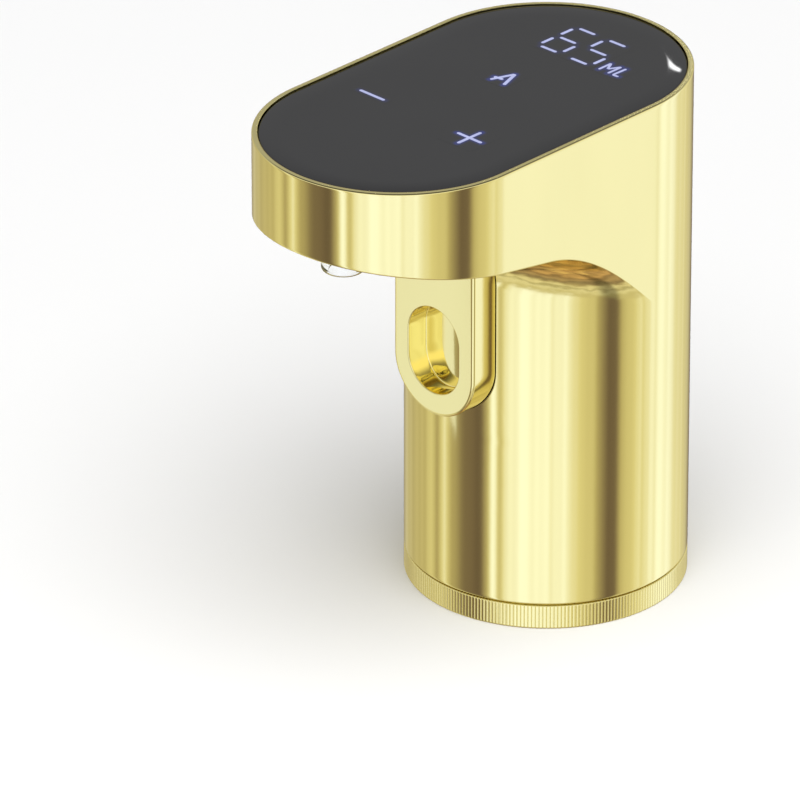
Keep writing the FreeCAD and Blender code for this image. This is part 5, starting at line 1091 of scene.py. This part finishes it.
def gold_plating(name, finishes, fine=1.0):
    """Polished gold plating: faint cloudy changes of tint and roughness, and a very shallow orange peel."""
    nodes, finish = new_material(name)
    rough = finishes.gold_rough * fine
    return finish(Base_Color=nodes.tints(nodes.noise(55.0, 3.0, (1, 1, 0.35)), finishes.gold, 0.97, 1.0),
                  Roughness=nodes.spread(nodes.noise(140.0, 4.0, (1, 1, 0.2)), rough * 0.75, rough * 1.25),
                  Metallic=1.0, Normal=nodes.bump(nodes.noise(260.0), 0.012, 0.0004))


def dark_glass(name, finishes, glow=False):
    """Grey-black touch glass: dark print behind a clear coat, with the marks' glow where asked for."""
    nodes, finish = new_material(name)
    tint = nodes.tints(nodes.noise(30.0), finishes.glass, 0.9, 1.1)
    if glow:
        share = nodes.new("Attribute", {}, attribute_name="glow").outputs["Fac"]
        lit = (*finishes.mark_glow, 1)
        tint = nodes.mix(share, tint, lit)
        finish(Emission_Color=nodes.mix(share, (0, 0, 0, 1), lit), Emission_Strength=0.22)
    return finish(Base_Color=tint, IOR=1.5,
                  Roughness=nodes.spread(nodes.noise(90.0, 3.0, (1, 0.4, 1)), 0.015, 0.035))


def lit_mark(name, finishes):
    """Light that shows through the glass: a soft periwinkle glow, a little uneven along each bar."""
    nodes, finish = new_material(name)
    return finish(Emission_Color=nodes.tints(nodes.noise(400.0), finishes.mark, 0.92, 1.06),
                  Emission_Strength=1.0, Base_Color=(0.02, 0.02, 0.04, 1), Roughness=0.25)


def moulded(name, base, rough=0.45, grain=900.0, depth=0.06, clear=0.0):
    """A moulded or cast finish: fine grain as bump, a cloudy tint and a roughness that follows it."""
    nodes, finish = new_material(name)
    fine = nodes.noise(grain, 3.0)
    return finish(Base_Color=nodes.tints(nodes.noise(70.0, 4.0), base, 0.88, 1.12, 0.25),
                  Roughness=nodes.spread(fine, max(rough - 0.08, 0.02), rough + 0.08),
                  Normal=nodes.bump(fine, depth * 4), Coat_Weight=clear)


def turned_metal(name, base, rough=0.3, along=(1, 1, 30)):
    """Drawn or turned metal: lines across one direction, in tint, roughness and a shallow bump."""
    nodes, finish = new_material(name)
    lines = nodes.noise(120.0, 3.0, along)
    return finish(Base_Color=nodes.tints(lines, base, 0.85, 1.0), Metallic=1.0,
                  Roughness=nodes.spread(lines, rough - 0.08, rough + 0.1), Normal=nodes.bump(lines, 0.08))


def clear_plastic(name):
    """Clear plastic, faintly grey, with a few soft flow lines."""
    nodes, finish = new_material(name)
    flow = nodes.noise(60.0, 2.0, (1, 1, 0.2))
    return finish(Base_Color=nodes.ramp(flow, ((0.3, (0.93, 0.95, 0.95)), (0.7, (0.98, 0.99, 0.99)))),
                  Roughness=nodes.spread(flow, 0.02, 0.06), Transmission_Weight=1.0, IOR=1.49)


def rubber(name, base):
    """Silicone: a soft sheen with fine dust and a slightly uneven tint."""
    nodes, finish = new_material(name)
    dust = nodes.noise(1500.0)
    return finish(Base_Color=nodes.tints(nodes.noise(60.0, 4.0), base, 0.92, 1.05),
                  Roughness=nodes.spread(dust, 0.42, 0.6), Normal=nodes.bump(dust, 0.12, 0.00006),
                  Subsurface_Weight=0.12, Subsurface_Radius=(0.002, 0.002, 0.002))


def winding(name):
    """Lacquered copper wire: close rings as bands of tint and bump."""
    nodes, finish = new_material(name)
    bands = nodes.new("TexWave", {"Scale": 700.0, "Vector": nodes.place()}, wave_type="BANDS",
                      bands_direction="Z").outputs["Fac"]
    return finish(Base_Color=nodes.ramp(bands, ((0.2, (0.35, 0.12, 0.05)), (0.8, (0.85, 0.42, 0.2)))),
                  Normal=nodes.bump(bands, 0.4), Metallic=0.9, Roughness=0.35)


def circuit_board(name):
    """Green solder mask over faint tracks."""
    nodes, finish = new_material(name)
    tracks = nodes.new("TexBrick", {
        "Scale": 260.0, "Color1": (0.01, 0.09, 0.035, 1), "Color2": (0.015, 0.12, 0.045, 1),
        "Mortar": (0.04, 0.2, 0.08, 1), "Vector": nodes.place()})
    return finish(Base_Color=tracks.outputs["Color"], Normal=nodes.bump(tracks.outputs["Fac"], 0.1),
                  Roughness=0.3)


MADE = {}


def finish_for(slot):
    """The finish of one of the record's slots, made once: its function and what that is given."""
    finishes = bpy.context.scene.pourer_finishes
    table = {
        "dark_plastic": (moulded, finishes.dark_plastic, 0.5),
        "board": (circuit_board,),
        "chip": (moulded, (0.02, 0.02, 0.022), 0.4, 1400.0),
        "structural_plastic": (moulded, (0.80, 0.80, 0.78), 0.42, 700.0),
        "food_plastic": (moulded, finishes.food_plastic, 0.35, 800.0, 0.03),
        "silicone": (rubber, finishes.silicone),
        "clear_plastic": (clear_plastic,),
        "motor_steel": (turned_metal, (0.72, 0.72, 0.7), 0.28),
        "magnet": (moulded, (0.08, 0.08, 0.085), 0.6, 1200.0),
        "winding": (winding,),
        "pump_plastic": (moulded, (0.12, 0.12, 0.13), 0.5, 600.0),
        "valve_block": (moulded, (0.72, 0.72, 0.70), 0.45, 800.0),
        "screw_steel": (turned_metal, (0.62, 0.62, 0.64), 0.25, (30, 30, 1)),
        "spring_steel": (turned_metal, (0.66, 0.65, 0.62), 0.22, (20, 20, 20)),
        "cell": (moulded, (0.03, 0.12, 0.32), 0.3, 500.0, 0.02, 0.3),
        "socket_steel": (turned_metal, (0.7, 0.7, 0.72), 0.24, (1, 30, 1)),
        "switch_plastic": (moulded, (0.06, 0.06, 0.062), 0.45),
        "gold_shell": (gold_plating, finishes),
        "gold_ring": (gold_plating, finishes, 1.1),
        "gold_paddle": (gold_plating, finishes, 0.8),
        "touch_glass": (dark_glass, finishes),
        "lit_mark": (lit_mark, finishes),
    }
    if slot not in MADE:
        make, *values = table[slot]
        MADE[slot] = make(slot, *values)
    return MADE[slot]


class POURER_OT_shell(bpy.types.Operator):
    """Build the gold shell: column and head in one wall"""
    bl_idname = "pourer.shell"
    bl_label = "Gold Shell"

    def execute(self, context):
        gold_shell(context.scene.pourer_sizes, finish_for("gold_shell"))
        return {"FINISHED"}


class POURER_OT_ring(bpy.types.Operator):
    """Build the knurled base ring"""
    bl_idname = "pourer.ring"
    bl_label = "Base Ring"

    def execute(self, context):
        base_ring(context.scene.pourer_sizes, finish_for("gold_ring"))
        return {"FINISHED"}


class POURER_OT_paddle(bpy.types.Operator):
    """Build the push paddle with its recess"""
    bl_idname = "pourer.paddle"
    bl_label = "Push Paddle"

    def execute(self, context):
        push_paddle(context.scene.pourer_sizes, finish_for("gold_paddle"))
        paddle_pad(finish_for("gold_paddle"))
        return {"FINISHED"}


class POURER_OT_glass(bpy.types.Operator):
    """Build the touch glass"""
    bl_idname = "pourer.glass"
    bl_label = "Touch Glass"

    def execute(self, context):
        touch_glass(finish_for("touch_glass"))
        return {"FINISHED"}


class POURER_OT_marks(bpy.types.Operator):
    """Build the lit marks and their glow"""
    bl_idname = "pourer.marks"
    bl_label = "Lit Marks"

    def execute(self, context):
        scene = context.scene
        lit_marks(scene.pourer_sizes, finish_for("lit_mark"))
        mark_glow(scene.pourer_sizes, dark_glass("mark_glow", scene.pourer_finishes, glow=True))
        return {"FINISHED"}


class POURER_OT_nozzle(bpy.types.Operator):
    """Build the clear nozzle"""
    bl_idname = "pourer.nozzle"
    bl_label = "Clear Nozzle"

    def execute(self, context):
        pouring_nozzle(finish_for("clear_plastic"))
        return {"FINISHED"}


class POURER_OT_stopper(bpy.types.Operator):
    """Build the ribbed silicone plug"""
    bl_idname = "pourer.stopper"
    bl_label = "Silicone Plug"

    def execute(self, context):
        bottle_stopper(finish_for("silicone"))
        return {"FINISHED"}


class POURER_OT_springs(bpy.types.Operator):
    """Wind the springs of the paddle and of the relief valve"""
    bl_idname = "pourer.springs"
    bl_label = "Springs"

    def execute(self, context):
        springs(finish_for("spring_steel"))
        return {"FINISHED"}


class POURER_OT_inside(bpy.types.Operator):
    """Finish the pieces that keep their CAD shape"""
    bl_idname = "pourer.inside"
    bl_label = "Inner Pieces"

    def execute(self, context):
        for part in frame["record"]["subparts"]:
            places = frame["nodes"][part["node"]].material_slots
            if not places:
                raise RuntimeError(f"{part['node']} has no material slot")
            for place in places:
                place.material = finish_for(part["material_slot"])
        return {"FINISHED"}


# Soft light panels and dark gaps round the object: (degrees from the front towards +X, brightness).
STUDIO_PANELS = (
    (-176, 0.80), (-160, 0.62), (-148, 0.22), (-138, 0.25), (-125, 0.40), (-112, 0.62), (-94, 0.55),
    (-72, 0.60), (-64, 0.78), (-56, 0.45), (-48, 0.95), (-40, 0.50), (-26, 0.20), (-11, 0.16),
    (-5, 0.55), (-1, 1.25), (5, 0.60), (9.5, 0.90), (15, 1.06), (33, 1.15), (47, 0.98), (56, 1.05),
    (66, 0.82), (81, 0.64), (88, 0.34), (94, 0.16), (101, 0.18), (107, 0.62), (119, 0.80), (136, 0.98),
    (150, 1.06), (176, 0.84),
)

# Colours of the panels by half their brightness: brown in the gaps, pale blue where they are brightest.
PANEL_TINTS = ((0.0, (0.0, 0.0, 0.0)), (0.09, (0.09, 0.07, 0.063)), (0.27, (0.27, 0.245, 0.165)),
               (0.40, (0.40, 0.385, 0.285)), (0.50, (0.51, 0.54, 0.64)), (0.60, (0.60, 0.67, 0.93)))

# Bands of the ground's reflection: (degrees away from straight down, red, green, blue).
GROUND_BANDS = (
    (0, 0.46, 0.26, 0.14), (5, 0.86, 0.60, 0.32), (9, 0.34, 0.22, 0.13), (13, 0.72, 0.47, 0.27),
    (17, 0.26, 0.18, 0.12), (22, 0.52, 0.38, 0.26), (26, 0.24, 0.19, 0.15), (30, 0.50, 0.42, 0.30),
    (34, 0.92, 0.88, 0.74), (38, 0.46, 0.42, 0.30), (42, 0.86, 0.84, 0.74), (47, 0.66, 0.62, 0.46),
)
GROUND_REACH = 60


def towards(azimuth, elevation):
    """Unit vector of a direction: azimuth from the front towards +X, elevation above the horizon."""
    return Vector((math.sin(azimuth) * math.cos(elevation), -math.cos(azimuth) * math.cos(elevation),
                   math.sin(elevation)))


def strip_lamp(nodes, way):
    """Brightness by direction of a thin strip lamp behind the object, which the glass's falling edge mirrors.

    The lamp is where a direction is near to two planes, one along the lamp and one across it.
    """
    azimuth, elevation, tilt = (math.radians(value) for value in (-139.5, 25.4, 17))
    away = towards(azimuth, elevation)
    side = Vector((-math.cos(azimuth), -math.sin(azimuth), 0.0))
    rise = side.cross(away)
    if rise.z < 0:
        rise = -rise
    along = side * math.cos(tilt) + rise * math.sin(tilt)
    lamp = 5.0
    for spot, half in ((along, 0.9), (away.cross(along), 0.15)):
        start, stop = (math.sin(math.radians(half * part)) for part in (0.7, 1.3))
        off = nodes.maths("ABSOLUTE", nodes.vector("DOT_PRODUCT", way, spot))
        lamp = nodes.maths("MULTIPLY", nodes.smooth(off, start, stop, 1.0, 0.0), lamp)
    return lamp


def studio_world():
    """Soft studio surroundings. Three zones blend by height.

    Below the horizon, where upright gold looks, panels stand round the object by direction. Straight below
    lie the ground's bands, bent a little by noise. Above, the sky is brighter in front and dark overhead,
    and a thin strip lamp stands behind the object.
    """
    world = bpy.data.worlds.new("studio")
    bpy.context.scene.world = world
    nodes = Nodes(world)
    maths = nodes.maths
    way = nodes.place("Generated")
    x, y, z = nodes.new("SeparateXYZ", {"Vector": way}).outputs

    around = maths("ARCTAN2", x, maths("MULTIPLY", y, -1.0))
    position = maths("ADD", maths("DIVIDE", around, TURN), 0.5)
    panels = nodes.ramp(position, [((a + 180) / 360, (b / 2,) * 3) for a, b in STUDIO_PANELS])
    level_way = nodes.vector("NORMALIZE", nodes.vector("MULTIPLY", way, (1, 1, 0)))
    streaks = nodes.spread(nodes.world_noise(level_way, 9.0, 2.0, "2D"), 0.80, 1.20)
    tint = nodes.ramp(maths("MULTIPLY", panels, streaks), PANEL_TINTS)

    down = maths("DIVIDE", maths("ARCCOSINE", maths("MULTIPLY", z, -1.0)), math.radians(GROUND_REACH))
    bent = maths("ADD", down, nodes.spread(nodes.world_noise(way, 9.0, 4.0), -0.16, 0.16))
    ground = nodes.ramp(bent, [(a / GROUND_REACH, (r / 2, g / 2, b / 2)) for a, r, g, b in GROUND_BANDS])
    shade = nodes.smooth(panels, 0.08, 0.28, 0.4)
    shaded = nodes.new("VectorMath", {0: ground, "Scale": shade}, operation="SCALE").outputs["Vector"]
    low = nodes.mix(nodes.smooth(bent, 47 / GROUND_REACH, 56 / GROUND_REACH), shaded, tint)

    front = maths("ADD", maths("MULTIPLY", x, 0.30), maths("MULTIPLY", y, -0.31))
    sky = maths("MULTIPLY", maths("ADD", front, 0.84), nodes.smooth(z, 0.42, 0.75, 1.0, 0.15))
    behind = maths("GREATER_THAN", maths("SUBTRACT", y, x), 0.0)
    sky = maths("ADD", maths("DIVIDE", sky, 2.0), maths("MULTIPLY", strip_lamp(nodes, way), behind))
    whole = nodes.mix(nodes.smooth(z, -0.05, 0.3), low, sky)
    light = nodes.new("Background", {"Color": whole, "Strength": 2.0})
    nodes.new("OutputWorld", {"Surface": light.outputs["Background"]})


def stage_piece(name, mesh, material, *hidden):
    """A piece of the stage, hidden from the named kinds of rays."""
    mesh.materials.append(material)
    made = linked(name, mesh)
    for kind in hidden:
        setattr(made, "visible_" + kind, False)


def studio_sweep(stage):
    """A pale floor that lights up far out, and round it a backdrop that only the camera sees."""
    radius, sunk, bend = 3600.0, -0.06, np.linspace(0, PI / 2, 14)

    def disc(name, radii, heights, material, *hidden):
        """A round stage piece: a profile of radii and heights turned round the axis."""
        mesh = Piece().wrap(ring_of(np.stack([radii, heights], -1), 96)).mesh(name)
        mesh.shade_smooth()
        stage_piece(name, mesh, material, "glossy", *hidden)

    nodes, finish = new_material("floor_paint")
    far = nodes.smooth(nodes.vector("LENGTH", nodes.place()), 0.5, 2.2, 0.0, 0.8)
    paint = finish(Base_Color=nodes.tints(nodes.noise(6.0), stage.floor, 0.995, 1.0), Roughness=0.9,
                   Specular_IOR_Level=0.0, Emission_Color=(*stage.floor, 1), Emission_Strength=far)
    disc("floor", np.linspace(0, radius, 16), np.full(16, sunk), paint)
    paint = glowing_paint("backdrop_paint", stage.floor, 0.7, 0.99, 1.0)
    disc("backdrop", radius * np.cos(bend), sunk + radius * np.sin(bend), paint,
         "diffuse", "shadow", "transmission")


def glowing_paint(name, tint, scale, dark, strength):
    """Paint that only gives off light, a little uneven by noise of the scale."""
    nodes, finish = new_material(name)
    return finish(Emission_Color=nodes.tints(nodes.noise(scale, 1.0), tint, dark, 1.0),
                  Emission_Strength=strength, Base_Color=(0, 0, 0, 1), Specular_IOR_Level=0.0)


def bounce_card():
    """A flat card just over the floor, left of the object, that only mirrored light meets."""
    corners = ((-66, -84), (-38, -84), (-101, -150), (-129, -150))
    mesh = bpy.data.meshes.new("front_card")
    mesh.from_pydata([(x * MM, y * MM, 0.3 * MM) for x, y in corners], [], [(0, 1, 2, 3)])
    paint = glowing_paint("front_card_paint", (0.80, 0.85, 0.97), 8.0, 0.96, 1.15)
    stage_piece("front_card", mesh, paint, "camera", "diffuse", "shadow", "transmission")


def soft_light():
    """A large soft lamp that lights the floor and the plastics, and isn't mirrored in the gold."""
    lamp = bpy.data.lights.new("soft_top", "AREA")
    lamp.shape, lamp.size, lamp.energy = "DISK", 2.4, 60.0
    made = linked("soft_top", lamp)
    made.location = (0.7, -0.6, 2.2)
    made.rotation_euler = (-made.location).to_track_quat("-Z", "Y").to_euler()
    made.visible_glossy = False


def photo_camera(stage):
    """The camera at the picture's viewing angle, aimed beside the object to stand it right of the middle."""
    focal_pixels, picture, sensor, sideways, down = 10592.9, 800, 36.0, 0.016314, 0.014391
    back = towards(stage.azimuth, stage.elevation)
    right = Vector((math.cos(stage.azimuth), math.sin(stage.azimuth), 0.0))
    up = back.cross(right)
    aim = Vector((0.0, -0.015, 0.055)) - right * sideways - up * down
    data = bpy.data.cameras.new("camera")
    data.sensor_width, data.lens = sensor, focal_pixels / picture * sensor
    data.clip_start, data.clip_end = 0.1, 20.0
    made = linked("camera", data)
    turn = Matrix((right, up, back)).transposed()
    made.matrix_world = Matrix.Translation(aim + back * stage.distance) @ turn.to_4x4()
    bpy.context.scene.camera = made


class POURER_OT_stage(bpy.types.Operator):
    """Build the pale sweep, the soft light and the camera"""
    bl_idname = "pourer.stage"
    bl_label = "Stage"

    def execute(self, context):
        scene = context.scene
        photo_camera(scene.pourer_stage)
        studio_world()
        studio_sweep(scene.pourer_stage)
        bounce_card()
        soft_light()
        scene.view_settings.view_transform = "Standard"
        return {"FINISHED"}


class POURER_PT_panel(bpy.types.Panel):
    """The pourer's pieces, sizes and finishes"""
    bl_idname = "POURER_PT_panel"
    bl_label = "Electric Pourer"
    bl_space_type = "VIEW_3D"
    bl_region_type = "UI"
    bl_category = "Pourer"

    def draw(self, context):
        layout = self.layout
        for maker in MAKERS:
            layout.operator(maker.bl_idname)
        for name in SETTINGS:
            box, group = layout.box(), getattr(context.scene, name)
            for setting in group.__annotations__:
                box.prop(group, setting)


MAKERS = (POURER_OT_shell, POURER_OT_ring, POURER_OT_paddle, POURER_OT_glass, POURER_OT_marks,
          POURER_OT_nozzle, POURER_OT_stopper, POURER_OT_springs, POURER_OT_inside, POURER_OT_stage)
SETTINGS = {"pourer_sizes": PourerSizes, "pourer_finishes": PourerFinishes, "pourer_stage": PourerStage}
CLASSES = (*SETTINGS.values(), *MAKERS, POURER_PT_panel)


def register():
    """Adds the classes and the scene's settings."""
    for each in CLASSES:
        bpy.utils.register_class(each)
    for name, group in SETTINGS.items():
        setattr(bpy.types.Scene, name, PointerProperty(type=group))


def unregister():
    """Takes the classes and the scene's settings away again."""
    for name in SETTINGS:
        delattr(bpy.types.Scene, name)
    for each in reversed(CLASSES):
        bpy.utils.unregister_class(each)


def main():
    """Builds every piece and the stage."""
    register()
    for maker in MAKERS:
        group, name = maker.bl_idname.split(".")
        getattr(getattr(bpy.ops, group), name)()


if __name__ == "__main__":
    main()
